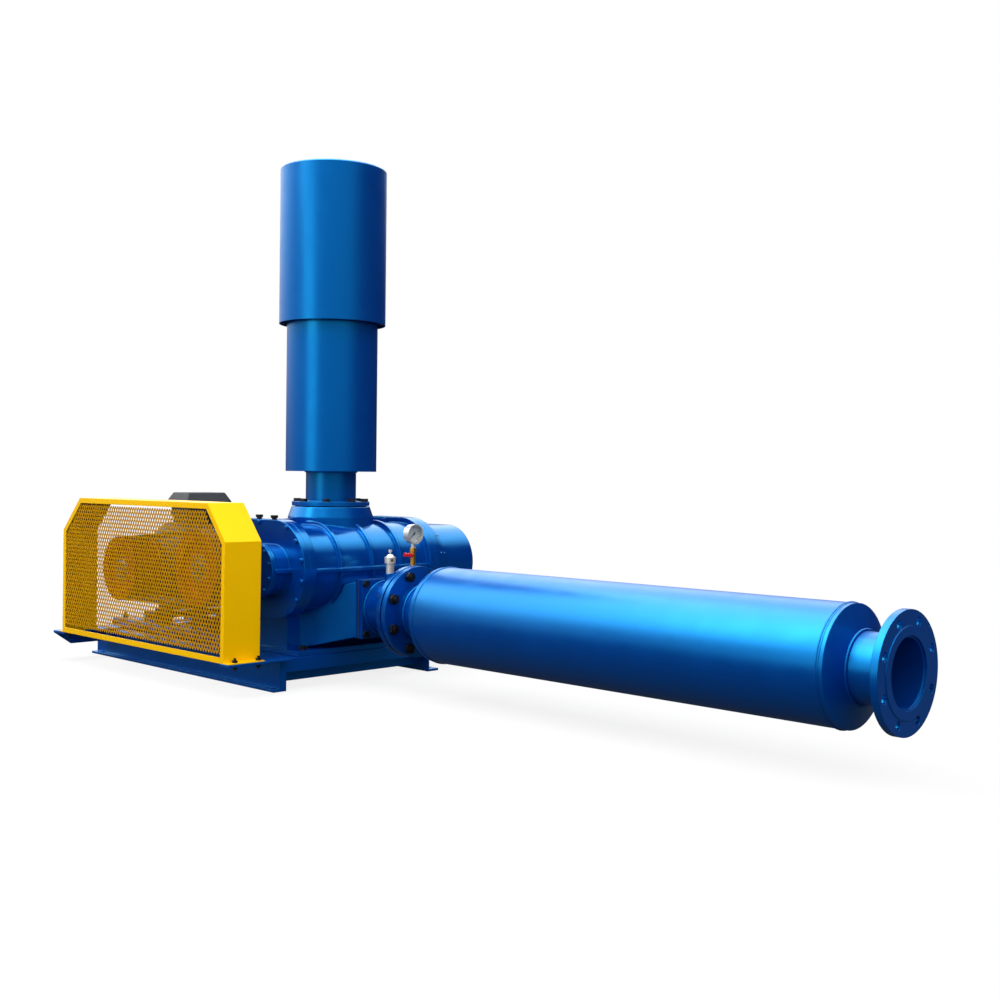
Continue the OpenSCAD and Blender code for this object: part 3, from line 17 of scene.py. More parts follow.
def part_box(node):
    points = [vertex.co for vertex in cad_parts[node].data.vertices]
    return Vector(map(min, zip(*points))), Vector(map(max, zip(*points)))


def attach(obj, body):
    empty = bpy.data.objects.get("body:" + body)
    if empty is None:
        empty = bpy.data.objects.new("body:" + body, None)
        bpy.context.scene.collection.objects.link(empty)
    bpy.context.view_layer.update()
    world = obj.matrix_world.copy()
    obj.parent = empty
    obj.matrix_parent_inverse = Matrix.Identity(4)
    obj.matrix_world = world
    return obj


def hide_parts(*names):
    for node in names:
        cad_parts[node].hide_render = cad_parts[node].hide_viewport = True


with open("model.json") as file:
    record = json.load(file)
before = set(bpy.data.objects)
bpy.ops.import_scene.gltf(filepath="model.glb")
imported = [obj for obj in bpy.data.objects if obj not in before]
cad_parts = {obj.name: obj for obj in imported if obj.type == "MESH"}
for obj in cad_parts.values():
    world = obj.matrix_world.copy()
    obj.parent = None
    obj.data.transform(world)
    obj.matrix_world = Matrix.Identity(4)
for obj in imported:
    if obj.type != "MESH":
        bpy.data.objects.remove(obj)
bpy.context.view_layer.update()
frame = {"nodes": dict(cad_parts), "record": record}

nodes = frame["nodes"]

# %% [markdown]
# The camera stands a little above knee height, left of the discharge pipe, and looks
# almost level across the skid. A camera can be aimed by eye, but here its place and
# focal length were solved from the edges of the real blower, so they are just numbers.
# The small vertical shift lowers the frame, so that the camera itself stays almost level
# and upright edges stay upright.

# %% Camera
CAMERA_PLACE = Vector((-2.61995, -3.79809, 0.678405))
HEADING, PITCH, ROLL = radians(-45.284), radians(0.388), radians(0.62)
FOCAL_PIXELS, PICTURE_PIXELS, CENTRE_ROW = 1258.109, 1000, 484.581
SENSOR_MM = 36

ahead = Vector((-sin(HEADING) * cos(PITCH), cos(HEADING) * cos(PITCH), -sin(PITCH)))
right = ahead.cross(Vector((0, 0, 1))).normalized()
up = right.cross(ahead)
right, up = cos(ROLL) * right + sin(ROLL) * up, -sin(ROLL) * right + cos(ROLL) * up

lens = bpy.data.cameras.new("camera")
lens.sensor_width = SENSOR_MM
lens.lens = SENSOR_MM * FOCAL_PIXELS / PICTURE_PIXELS
lens.shift_y = (CENTRE_ROW - PICTURE_PIXELS / 2) / PICTURE_PIXELS
camera = bpy.data.objects.new("camera", lens)
camera.matrix_world = Matrix.Translation(CAMERA_PLACE) @ Matrix(
    (right, up, -ahead)).transposed().to_4x4()
bpy.context.scene.collection.objects.link(camera)
bpy.context.scene.camera = camera
bpy.context.scene.view_settings.view_transform = "Standard"
print("camera at", tuple(CAMERA_PLACE), "lens", round(lens.lens, 2), "mm")

# %% [markdown]
# Every finish below is built from shader nodes. They could be wired one by one, but a few
# helpers make each finish short enough to read: one turns a colour as a painter would name
# it into the linear light that the renderer counts in, one adds a node with its settings
# and its links in a single line, one starts an empty material, and one turns a real size
# into the scale of a noise.

# %% Helpers for finishes
# the scene counts in metres
MM = 0.001


def linear(colour):
    """The linear light of an sRGB hex colour, with the numbers of the sRGB curve."""
    parts = [int(colour[i:i + 2], 16) / 255 for i in (1, 3, 5)]
    light = [c / 12.92 if c <= 0.04045 else ((c + 0.055) / 1.055) ** 2.4 for c in parts]
    return (*light, 1)


def add(tree, kind, inputs=None, **settings):
    """Adds a node. An input is a value, or another node's output to link."""
    node = tree.nodes.new(kind)
    for name, value in settings.items():
        setattr(node, name, value)
    for name, value in (inputs or {}).items():
        if isinstance(value, bpy.types.NodeSocket):
            tree.links.new(value, node.inputs[name])
        else:
            node.inputs[name].default_value = value
    return node


def blank(name):
    """A material without nodes, and its tree."""
    material = bpy.data.materials.new(name)
    material.use_nodes = True
    material.node_tree.nodes.clear()
    return material, material.node_tree


def per_metre(size_mm):
    """Noise scale whose features are about this many millimetres across."""
    return 1 / (size_mm * MM)


print("a mid grey of #808080 is", round(linear("#808080")[0], 3), "in linear light")

# %% [markdown]
# Most of the blower wears enamel. It is sprayed on and dries to a glossy skin over the
# metal, slightly darker where it pooled, with a faint orange-peel ripple. Its blue pigment
# also lies in the glossy skin, so a lamp's reflection in it is azure and not white: the
# specular tint does that, and it is what turns the navy paint bright wherever it faces a
# window. A dense pigment also bends light more than clear lacquer, which the blue's higher
# index stands for. The ripple and the sand of a casting mould are finer than the camera can
# show, so they are drawn coarser, at 9 mm and at 6 to 7 mm.
# A rounded-edge normal stands for the paint that rolls over every edge, because the bright
# line it leaves is what the eye reads as thick gloss.
# The render's noise filter takes a surface smoother than 0.27 for a mirror and leaves specks
# where a finish crosses that value, so each range of roughness lies on one side of it.

# %% Enamel recipe
POOL_MM, SMEAR_MM, PEEL_MM = 160, 60, 9
SMEAR_LOW, SMEAR_HIGH, SMEAR_ROUGHER = 0.3, 0.75, 0.08


def enamel(name, colour, pooled, sheen, peel=0.006, grain_mm=0, grain=0, rough=0.2, shine=1.0,
           ior=1.5, roll=2.5):
    """Sprayed enamel. peel, grain and roll are the heights and the edge radius in mm."""
    material, tree = blank(name)
    place = add(tree, "ShaderNodeTexCoord").outputs["Object"]
    pools = add(tree, "ShaderNodeTexNoise", {
        "Vector": place, "Scale": per_metre(POOL_MM), "Detail": 3.0})
    tone = add(tree, "ShaderNodeMix", {0: pools.outputs["Fac"], 6: linear(colour),
                                       7: linear(pooled)}, data_type="RGBA")
    smears = add(tree, "ShaderNodeTexNoise", {
        "Vector": place, "Scale": per_metre(SMEAR_MM), "Detail": 3.0})
    gloss = add(tree, "ShaderNodeMapRange", {
        "Value": smears.outputs["Fac"], "From Min": SMEAR_LOW, "From Max": SMEAR_HIGH,
        "To Min": rough, "To Max": rough + SMEAR_ROUGHER})
    edge = add(tree, "ShaderNodeBevel", {"Radius": roll * MM}, samples=4)
    skin = add(tree, "ShaderNodeTexNoise", {
        "Vector": place, "Scale": per_metre(PEEL_MM), "Detail": 0.0})
    normal = add(tree, "ShaderNodeBump", {
        "Height": skin.outputs["Fac"], "Distance": peel * MM, "Normal": edge.outputs["Normal"]})
    if grain:
        sand = add(tree, "ShaderNodeTexNoise", {
            "Vector": place, "Scale": per_metre(grain_mm), "Detail": 2.0})
        normal = add(tree, "ShaderNodeBump", {
            "Height": sand.outputs["Fac"], "Distance": grain * MM,
            "Normal": normal.outputs["Normal"]})
    paint = add(tree, "ShaderNodeBsdfPrincipled", {
        "Base Color": tone.outputs[2], "Roughness": gloss.outputs["Result"], "IOR": ior,
        "Specular IOR Level": shine, "Specular Tint": linear(sheen),
        "Normal": normal.outputs["Normal"]})
    add(tree, "ShaderNodeOutputMaterial", {"Surface": paint.outputs["BSDF"]})
    print("finish", name)
    return material


print("enamel recipe: pools of", POOL_MM, "smears of", SMEAR_MM, "ripple of", PEEL_MM, "mm")

# %% [markdown]
# Six coats come from that recipe. Each could be wired on its own, but they differ only in
# what the eye can tell apart: the colour, the tint of the gloss, how smooth the metal below
# is and how shiny the skin stays.

# %% Enamels
# rolled sheet under sprayed enamel: long clean highlights with a barely wavy edge
blue_sheet = enamel("sprayed_blue_enamel_on_rolled_sheet", "#00358C", "#002E7E", "#20B8FF",
                    rough=0.28, ior=1.95)
# sand-cast iron under the same enamel: the grain breaks the highlights into glints, and
# the paint rolls over the cast edges in a wider line
blue_casting = enamel("sprayed_blue_enamel_on_sand_cast_iron", "#003388", "#002C7A", "#20B8FF",
                      grain_mm=7, grain=0.05, rough=0.18, ior=1.95, roll=5)
# folded sheet under yellow enamel: even and a little softer in shine
yellow_sheet = enamel("sprayed_yellow_enamel_on_folded_sheet", "#F8C200", "#F1B900", "#FFD820",
                      rough=0.32, shine=0.3)
# the same yellow on the slit and pulled strands of the guard panel: rougher, since paint
# stays thin on their edges, and a darker yellow than the sheet's as painted shade on them
yellow_strands_painted_shade = enamel("sprayed_yellow_enamel_on_expanded_metal_painted_shade", "#D09800", "#B27C00",
                        "#FFEB60", rough=0.45, shine=0.3)
# dark enamel on the motor's ribbed casting: dull, with darker patches that differ at random
motor_grey = enamel("dark_grey_enamel_on_cast_motor_frame", "#26292F", "#1E2126", "#FFFFFF",
                    grain_mm=6, grain=0.06, rough=0.55, shine=0.3)
# a dab of red enamel on the small cock handle: bright and smooth
red_enamel = enamel("dipped_red_enamel", "#C4121A", "#A60D14", "#FFFFFF", rough=0.18, shine=0.5)

# %% [markdown]
# The bare metals come next. A plain mirror would look like none of them, because the eye
# knows a metal by the marks that the making left. So the recipe is a metal whose roughness
# and height vary with a fine noise, stretched along one axis where a tool ran that way, and
# whose tint varies in wider blotches.

# %% Metal recipe
MARK_LOW, MARK_HIGH, MARK_SMOOTHER, MARK_ROUGHER = 0.3, 0.7, 0.06, 0.08
BLOTCH_LOW, BLOTCH_HIGH = 0.35, 0.65


def metal(name, colour, second, rough, mark_mm, mark, stretch=(1, 1, 1), blotch_mm=25,
          metallic=1.0):
    """Bare or thinly covered metal. mark is the depth of its tool marks in mm."""
    material, tree = blank(name)
    place = add(tree, "ShaderNodeTexCoord").outputs["Object"]
    along = add(tree, "ShaderNodeMapping", {"Vector": place, "Scale": stretch})
    marks = add(tree, "ShaderNodeTexNoise", {
        "Vector": along.outputs["Vector"], "Scale": per_metre(mark_mm), "Detail": 4.0})
    blotch = add(tree, "ShaderNodeTexNoise", {
        "Vector": place, "Scale": per_metre(blotch_mm), "Detail": 5.0, "Roughness": 0.6})
    share = add(tree, "ShaderNodeMapRange", {
        "Value": blotch.outputs["Fac"], "From Min": BLOTCH_LOW, "From Max": BLOTCH_HIGH})
    tone = add(tree, "ShaderNodeMix", {0: share.outputs["Result"], 6: linear(colour),
                                       7: linear(second)}, data_type="RGBA")
    gloss = add(tree, "ShaderNodeMapRange", {
        "Value": marks.outputs["Fac"], "From Min": MARK_LOW, "From Max": MARK_HIGH,
        "To Min": rough - MARK_SMOOTHER, "To Max": rough + MARK_ROUGHER})
    relief = add(tree, "ShaderNodeBump", {
        "Height": marks.outputs["Fac"], "Distance": mark * MM, "Strength": 1.0})
    body = add(tree, "ShaderNodeBsdfPrincipled", {
        "Base Color": tone.outputs[2], "Metallic": metallic,
        "Roughness": gloss.outputs["Result"], "Normal": relief.outputs["Normal"]})
    add(tree, "ShaderNodeOutputMaterial", {"Surface": body.outputs["BSDF"]})
    print("finish", name)
    return material


print("metal recipe: roughness", -MARK_SMOOTHER, "to", MARK_ROUGHER, "round its middle")

# %% [markdown]
# Black oxide, ground steel, cast iron, nickel, zinc and brass differ in tint, in how sharp
# their reflections are and in the size of their marks. Each could have its own nodes, but a
# few numbers for each tell them apart.

# %% Metals
# oil-black fasteners: almost black, with a soft grey glint on the worn corners
black_steel = metal("black_oxide_steel", "#1B1C1F", "#2A2B2E", 0.42, 2, 0.02, metallic=0.7)
# turned and ground shafts: fine rings that run round the X axis
bright_steel = metal("ground_steel", "#B9BCC0", "#A9ACB0", 0.35, 0.8, 0.01,
                     stretch=(1, 0.1, 0.1))
# milled rotor iron: grey, duller than steel
rotor_iron = metal("milled_grey_iron", "#8C8D8F", "#7B7C7E", 0.42, 1.5, 0.02)
# pulleys still wear the orange-brown rust guard they were shipped in
pulley_iron = metal("turned_iron_under_orange_rust_guard", "#E0601A", "#B04A14", 0.5, 1.5, 0.02,
                    stretch=(1, 0.2, 0.2), metallic=0.25)
# nickel plate on the gauge and valve: pale and slightly warm, and only half a mirror, since
# a full one would turn dark in so plain a room
plated_steel = metal("nickel_plated_steel", "#D8D6D0", "#C9C7C2", 0.35, 1, 0.004,
                     metallic=0.55)
# hot-dipped zinc on the perforated tubes: pale blotches of about 15 mm
perforated_zinc = metal("galvanised_perforated_sheet", "#B4B8BC", "#9DA2A7", 0.4, 3, 0.01,
                        blotch_mm=15)
# turned brass of the cock: yellow, with fine tool marks
brass = metal("turned_brass", "#D6A24A", "#B9822F", 0.35, 0.8, 0.006)

# %% [markdown]
# Rubber, paper, plastic and the printed dial are matt. They could be given a plain colour,
# but close up that looks like clay. They scatter light instead of mirroring it, so one matt
# recipe is enough, with a noise in its colour and a shallow relief from the same noise.

# %% Matt materials
def matt(name, colour, second, rough, grain_mm, relief_mm, sheen=0.0):
    """A matt material with grains of grain_mm across and relief_mm deep."""
    material, tree = blank(name)
    place = add(tree, "ShaderNodeTexCoord").outputs["Object"]
    grain = add(tree, "ShaderNodeTexNoise", {
        "Vector": place, "Scale": per_metre(grain_mm), "Detail": 4.0})
    tone = add(tree, "ShaderNodeMix", {0: grain.outputs["Fac"], 6: linear(colour),
                                       7: linear(second)}, data_type="RGBA")
    relief = add(tree, "ShaderNodeBump", {
        "Height": grain.outputs["Fac"], "Strength": 1.0, "Distance": relief_mm * MM})
    body = add(tree, "ShaderNodeBsdfPrincipled", {
        "Base Color": tone.outputs[2], "Roughness": rough, "Sheen Weight": sheen,
        "Normal": relief.outputs["Normal"]})
    add(tree, "ShaderNodeOutputMaterial", {"Surface": body.outputs["BSDF"]})
    print("finish", name)
    return material


# wrapped rubber belts: black with grey dust from running
belt_rubber = matt("dusty_wrapped_belt_rubber", "#1C1C1D", "#35332F", 0.75, 6, 0.05, sheen=0.3)
# cut sheet rubber of gaskets and seals: black and even
seal_rubber = matt("cut_gasket_rubber", "#1A1A1C", "#242426", 0.65, 2, 0.03)
# pleated filter paper: off-white and soft
filter_media = matt("pleated_filter_paper", "#D8D4C6", "#C8C3B2", 0.9, 3, 0.2)
# enamelled dial sheet: matt white so that the pointer reads well
dial_white = matt("matt_white_dial_sheet", "#F1F1EE", "#E9E9E6", 0.5, 2, 0.002)
# lacquered pointer and printed scale: flat black, without a glint
dial_black = matt("matt_black_lacquer", "#101113", "#17181A", 0.5, 2, 0.002)
# moulded plastic of the fan and the cable gland: black with a soft shine
black_plastic = matt("moulded_black_nylon", "#17181A", "#202124", 0.45, 1.5, 0.02)

# %% [markdown]
# The gauge has a flat pane of clear glass with a very slight ripple. Glass alone would also
# stop the lamps' light and leave the dial in the dark, so shadow rays get a see-through
# surface instead, and every other ray gets the real glass.

# %% Gauge glass
PANE_TINT, RIPPLE_MM, RIPPLE_DEEP_MM = "#F4F8FA", 20, 0.01
gauge_glass, glass_tree = blank("flat_clear_gauge_glass")
ripple = add(glass_tree, "ShaderNodeTexNoise", {
    "Vector": add(glass_tree, "ShaderNodeTexCoord").outputs["Object"],
    "Scale": per_metre(RIPPLE_MM)})
ripple_relief = add(glass_tree, "ShaderNodeBump", {
    "Height": ripple.outputs["Fac"], "Distance": RIPPLE_DEEP_MM * MM, "Strength": 1.0})
pane = add(glass_tree, "ShaderNodeBsdfPrincipled", {
    "Base Color": linear(PANE_TINT), "Roughness": 0.02, "IOR": 1.45,
    "Transmission Weight": 1.0, "Normal": ripple_relief.outputs["Normal"]})
clear = add(glass_tree, "ShaderNodeBsdfTransparent", {"Color": linear(PANE_TINT)})
passing = add(glass_tree, "ShaderNodeLightPath").outputs["Is Shadow Ray"]
glazing = add(glass_tree, "ShaderNodeMixShader", {
    0: passing, 1: pane.outputs["BSDF"], 2: clear.outputs["BSDF"]})
add(glass_tree, "ShaderNodeOutputMaterial", {"Surface": glazing.outputs["Shader"]})
print("finish", gauge_glass.name)

# %% [markdown]
# The record says which finish each solid takes. Sixty assignments by hand would work, but a
# loop over the record's own list can't forget one.

# %% Dress the solids
finishes = {
    "blue_sheet": blue_sheet, "blue_casting": blue_casting, "yellow_sheet": yellow_sheet,
    "black_steel": black_steel, "bright_steel": bright_steel, "rotor_iron": rotor_iron,
    "pulley_iron": pulley_iron, "belt_rubber": belt_rubber, "seal_rubber": seal_rubber,
    "perforated_zinc": perforated_zinc, "filter_media": filter_media,
    "plated_steel": plated_steel, "brass": brass, "red_enamel": red_enamel,
    "dial_white": dial_white, "dial_black": dial_black, "gauge_glass": gauge_glass,
    "motor_grey": motor_grey, "black_plastic": black_plastic}


def wear(piece, material):
    """Gives a piece this material in all its slots."""
    if piece.material_slots:
        for place in piece.material_slots:
            place.material = material
    else:
        piece.data.materials.append(material)


for row in frame["record"]["subparts"]:
    wear(nodes[row["node"]], finishes[row["material_slot"]])

# %% [markdown]
# Round the blower is a plain studio. The camera sees it as plain white, but in mirrors it is
# a room: grey towards the windows, bright overhead and dark behind, which leaves the
# undersides and the far sides of the pipes dark. Scattered light comes mostly from the
# camera's side, so that faces turned that way keep their own colour. Lamps alone could do
# this, but each would show as a shape in the gloss, so the surround has these three glows,
# each a ramp that rises as a direction turns that way.

# %% Surround
ROOM_DARK, ROOM_LIGHT, CEILING_LIGHT, FILL_DARK, FILL_LIGHT = 0.015, 0.75, 3.3, 0.05, 1.55
TOWARD_WINDOWS = Vector((-0.98, -0.17, 0.1)).normalized()
TOWARD_CEILING = Vector((0.08, 0.36, 0.92)).normalized()
TOWARD_FILL = Vector((-0.45, -0.85, 0.3)).normalized()
# cosines of the angle to those directions: where each glow begins and where it is full
WINDOWS_RAMP, CEILING_RAMP, FILL_RAMP = (-0.3, 0.25), (0.37, 0.68), (-0.3, 1.0)
world = bpy.data.worlds.new("studio")
bpy.context.scene.world = world
world.use_nodes = True
sky = world.node_tree
sky.nodes.clear()


def mirror_ray(tree):
    """1 for rays that see the surround in a mirror or through glass, 0 for scattered light."""
    path = add(tree, "ShaderNodeLightPath")
    either = add(tree, "ShaderNodeMath", {
        0: path.outputs["Is Glossy Ray"], 1: path.outputs["Is Transmission Ray"]},
        operation="MAXIMUM")
    return either.outputs[0]


def glow(tree, towards, ramp, dark, light):
    """Light of the surround: dark behind, growing to light as the direction turns this way."""
    bearing = add(tree, "ShaderNodeVectorMath", {
        0: add(tree, "ShaderNodeTexCoord").outputs["Generated"], 1: towards},
        operation="DOT_PRODUCT")
    level = add(tree, "ShaderNodeMapRange", {
        "Value": bearing.outputs["Value"], "From Min": ramp[0], "From Max": ramp[1],
        "To Min": dark, "To Max": light})
    return level.outputs["Result"]


windows = glow(sky, TOWARD_WINDOWS, WINDOWS_RAMP, ROOM_DARK, ROOM_LIGHT)
ceiling = glow(sky, TOWARD_CEILING, CEILING_RAMP, 0.0, CEILING_LIGHT)
mirrored = add(sky, "ShaderNodeMath", {0: windows, 1: ceiling}, operation="ADD").outputs[0]
scattered = glow(sky, TOWARD_FILL, FILL_RAMP, FILL_DARK, FILL_LIGHT)
reflected = add(sky, "ShaderNodeMix", {0: mirror_ray(sky), 2: scattered, 3: mirrored},
                data_type="FLOAT")
direct = add(sky, "ShaderNodeLightPath").outputs["Is Camera Ray"]
strength = add(sky, "ShaderNodeMath", {0: reflected.outputs[0], 1: direct},
               operation="MAXIMUM")
backdrop = add(sky, "ShaderNodeBackground", {
    "Color": linear("#FFFFFF"), "Strength": strength.outputs[0]})
add(sky, "ShaderNodeOutputWorld", {"Surface": backdrop.outputs["Background"]})
print("scattered light comes from", tuple(round(part, 2) for part in TOWARD_FILL))

# %% [markdown]
# The floor is a wide matt sheet of studio white. Left plain, its far edge would show as a
# grey line, so the camera sees a mix: near the blower it takes the shadow, and further off
# it runs out to plain white. For all other rays it is a dull grey with a trace of the white
# in mirrors, so that it doesn't light the pipes from below.

# %% Floor
FLOOR_HALF, FLOOR_DROP, FLOOR_MIDDLE = 30.0, 0.5 * MM, (0, -0.7, 0)
SHADOW_NEAR, SHADOW_FAR, SHADOW_SHARE, MIRROR_SHARE = 1.0, 3.2, 0.16, 0.05
floor_mesh = bpy.data.meshes.new("floor")
floor_mesh.from_pydata([(x * FLOOR_HALF, y * FLOOR_HALF, 0)
                        for x, y in ((-1, -1), (1, -1), (1, 1), (-1, 1))], [], [(0, 1, 2, 3)])
floor = bpy.data.objects.new("floor", floor_mesh)
floor.location.z = -FLOOR_DROP
bpy.context.scene.collection.objects.link(floor)

pale_floor, floor_tree = blank("matt_white_studio_floor")
away = add(floor_tree, "ShaderNodeVectorMath", {
    0: add(floor_tree, "ShaderNodeTexCoord").outputs["Object"], 1: FLOOR_MIDDLE},
    operation="DISTANCE")
share = add(floor_tree, "ShaderNodeMapRange", {
    "Value": away.outputs["Value"], "From Min": SHADOW_NEAR, "From Max": SHADOW_FAR,
    "To Min": SHADOW_SHARE, "To Max": 0.0})
lit = add(floor_tree, "ShaderNodeBsdfDiffuse", {"Color": linear("#F4F4F2")})
white = add(floor_tree, "ShaderNodeEmission", {"Color": linear("#FFFFFF"), "Strength": 1.0})
shown = add(floor_tree, "ShaderNodeMixShader", {
    0: share.outputs["Result"], 1: white.outputs["Emission"], 2: lit.outputs["BSDF"]})
dull = add(floor_tree, "ShaderNodeBsdfDiffuse", {"Color": linear("#3E3E42")})
trace = add(floor_tree, "ShaderNodeMath", {0: mirror_ray(floor_tree), 1: MIRROR_SHARE},
            operation="MULTIPLY")
view = add(floor_tree, "ShaderNodeMath", {
    0: trace.outputs[0], 1: add(floor_tree, "ShaderNodeLightPath").outputs["Is Camera Ray"]},
    operation="MAXIMUM")
both = add(floor_tree, "ShaderNodeMixShader", {
    0: view.outputs[0], 1: dull.outputs["BSDF"], 2: shown.outputs["Shader"]})
add(floor_tree, "ShaderNodeOutputMaterial", {"Surface": both.outputs["Shader"]})
floor_mesh.materials.append(pale_floor)
print("floor", 2 * FLOOR_HALF, "m wide")

# %% [markdown]
# Three softboxes give the light its direction: a broad one overhead, a long one above the
# left side, turned in like a skylight, and one low at the left, as a window would be. Spot
# lamps would be simpler, but they leave hot spots. Large rectangles show in the pipes as
# long soft bands.

# %% Softboxes
def softbox(name, place, target, size, watts):
    """A rectangular lamp of this size in metres, turned to face the target."""
    lamp = bpy.data.lights.new(name, "AREA")
    lamp.shape, lamp.size, lamp.size_y, lamp.energy = "RECTANGLE", size[0], size[1], watts
    lamp_object = bpy.data.objects.new(name, lamp)
    towards = Vector(target) - Vector(place)
    lamp_object.matrix_world = (Matrix.Translation(place)
                                @ towards.to_track_quat("-Z", "Y").to_matrix().to_4x4())
    bpy.context.scene.collection.objects.link(lamp_object)
    print("softbox", name, watts, "W")


softbox("ceiling", place=(-1.4, -0.6, 4.2), target=(-1.4, -0.6, 0), size=(5.6, 4.6), watts=200)
softbox("skylight", place=(-2.6, 0.2, 4.0), target=(0, -0.8, 0.4), size=(1.2, 4.6), watts=60)
softbox("window", place=(-5.2, -0.5, 1.6), target=(0, -0.4, 0.9), size=(2.2, 2.6), watts=40)

# %% [markdown]
# Two folded or rolled pieces sit a little differently on the real blower than in the solid
# model. They could be built again, but their forms are right and only some folds move. So a
# copy of the solid's mesh is taken, and the corners that pass a test, such as lying near a
# listed place, are shifted. A copy keeps every wall closed. The helpers for that also serve
# the pieces further on: each is added in one line that says its body and its finish.

# %% Helpers for pieces
SAME_CORNER, SAME_PLANE_MM = 0.002 * MM, 0.2


def as_data(mesh, name):
    """Turns a bmesh into mesh data of this name, and frees it."""
    data = bpy.data.meshes.new(name)
    mesh.to_mesh(data)
    mesh.free()
    return data


def show(name, data, material, body="skid", instead_of=None):
    """Adds a mesh as a visible piece that rides on a body and may stand in for a solid."""
    piece = bpy.data.objects.new(name, data)
    bpy.context.scene.collection.objects.link(piece)
    wear(piece, material)
    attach(piece, body)
    if instead_of:
        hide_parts(instead_of)
    return piece


def reshaped(name, node, shifts, material):
    """A copy of a solid's mesh with some corners moved: shifts lists (test, move) pairs."""
    mesh = bmesh.new()
    mesh.from_mesh(nodes[node].data)
    mesh.transform(nodes[node].matrix_world)
    bmesh.ops.remove_doubles(mesh, verts=mesh.verts, dist=SAME_CORNER)
    moved = 0
    for vert in mesh.verts:
        for test, move in shifts:
            if test(vert.co / MM):
                vert.co += Vector(move) * MM
                moved += 1
                break
    for face in mesh.faces:
        face.smooth = False
    data = as_data(mesh, name)
    print(name, "moved", moved, "of", len(data.vertices), "corners")
    return show(name, data, material, instead_of=node)


def near(y, z, reach=27):
    """Tests whether a corner lies within reach of this place, seen along X."""
    return lambda p: abs(p.y - y) < reach and abs(p.z - z) < reach


def plane(axis, place):
    """Tests whether a corner lies in this plane across an axis."""
    return lambda p: abs(p[axis] - place) < SAME_PLANE_MM


# %% [markdown]
# The belt guard is one sheet folded over the top with sloping corners. On the real one the
# top is 6 mm higher and the upper folds lie 11 and 17 mm nearer the discharge side. Every
# corner within 27 mm of a fold moves with it, which takes in both faces of the sheet and
# its rim. In the base, the web of the front channel stands 20 mm nearer the tips of its
# flanges, and the base's discharge end lies 26 mm further in.

# %% Guard shell and base
GUARD_FOOT, FOLD = 28, 105
UPPER_START_SHIFT, UPPER_END_SHIFT = (0, -11, 6), (0, -17, 6)
LOWER_START_SHIFT, LOWER_END_SHIFT = (0, -4, -4), (0, -2, -4)
guard_low, guard_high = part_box("guard_shell")
guard_start, guard_end = guard_low.y / MM + GUARD_FOOT, guard_high.y / MM - GUARD_FOOT
guard_top = guard_high.z / MM
reshaped("guard_shell_seen", "guard_shell", [
    (near(guard_start + FOLD, guard_top), UPPER_START_SHIFT),
    (near(guard_end - FOLD, guard_top), UPPER_END_SHIFT),
    (near(guard_start, guard_top - FOLD), LOWER_START_SHIFT),
    (near(guard_end, guard_top - FOLD), LOWER_END_SHIFT)], yellow_sheet)

X, Y = 0, 1
BASE_END, RAIL_WEB, WEB_FACE = -595, 6, -303
WEB_SHIFT, END_SHIFT = -20, 26
reshaped("base_frame_seen", "base_frame", [
    (lambda p: plane(Y, BASE_END)(p) and plane(X, WEB_FACE)(p), (WEB_SHIFT, END_SHIFT, 0)),
    (plane(Y, BASE_END), (0, END_SHIFT, 0)), (plane(Y, BASE_END + RAIL_WEB), (0, END_SHIFT, 0)),
    (plane(X, WEB_FACE), (WEB_SHIFT, 0, 0))], blue_sheet)

# %% [markdown]
# The lid of the motor's terminal box is a deep pressed hood: a short upright skirt, sides
# that lean in and a flat top. It could be one scaled block, but the lean is what the eye
# reads, so it is built ring by ring from the skirt to the top, with a hollow below that the
# box reaches into. A bevel rounds the folds as a press tool does.

# %% Terminal lid
LID_SKIRT, SKIRT_TALL, LID_TOP, TOP_ROUND = 568, 9, 608, 2
HOLLOW_INSET, HOLLOW_ROOF, SHOULDER_INSET, TOP_INSET = 11.5, 594.5, 16, 19
FOLD_ROUND, FOLD_FACES = 1.2, 3


def stacked(name, middle, half, rings):
    """A closed shell of rectangular rings, each given as (inset, height) in millimetres."""
    mesh = bmesh.new()
    loops = [[mesh.verts.new(((middle[0] + sx * (half[0] - inset)) * MM,
                              (middle[1] + sy * (half[1] - inset)) * MM, z * MM))
              for sx, sy in ((-1, -1), (1, -1), (1, 1), (-1, 1))] for inset, z in rings]
    for lower, upper in zip(loops, loops[1:]):
        for k in range(4):
            mesh.faces.new((lower[k], lower[(k + 1) % 4], upper[(k + 1) % 4], upper[k]))
    mesh.faces.new(loops[-1])
    mesh.faces.new(reversed(loops[0]))
    bmesh.ops.recalc_face_normals(mesh, faces=mesh.faces)
    return as_data(mesh, name)


lid_row = next(row for row in frame["record"]["subparts"] if row["node"] == "terminal_lid")
lid_low, lid_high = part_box("terminal_lid")
lid_middle, lid_half = (lid_low + lid_high) / 2 / MM, (lid_high - lid_low) / 2 / MM
lid_data = stacked("terminal_lid_seen", lid_middle, lid_half, [
    (HOLLOW_INSET, HOLLOW_ROOF), (HOLLOW_INSET, LID_SKIRT), (0, LID_SKIRT),
    (0, LID_SKIRT + SKIRT_TALL), (SHOULDER_INSET, LID_TOP - TOP_ROUND), (TOP_INSET, LID_TOP)])
lid = show("terminal_lid_seen", lid_data, finishes[lid_row["material_slot"]],
           instead_of="terminal_lid")
fold = lid.modifiers.new("pressed_folds", "BEVEL")
fold.width, fold.segments, fold.limit_method = FOLD_ROUND * MM, FOLD_FACES, "ANGLE"
print("lid from", LID_SKIRT, "to", LID_TOP, "mm")
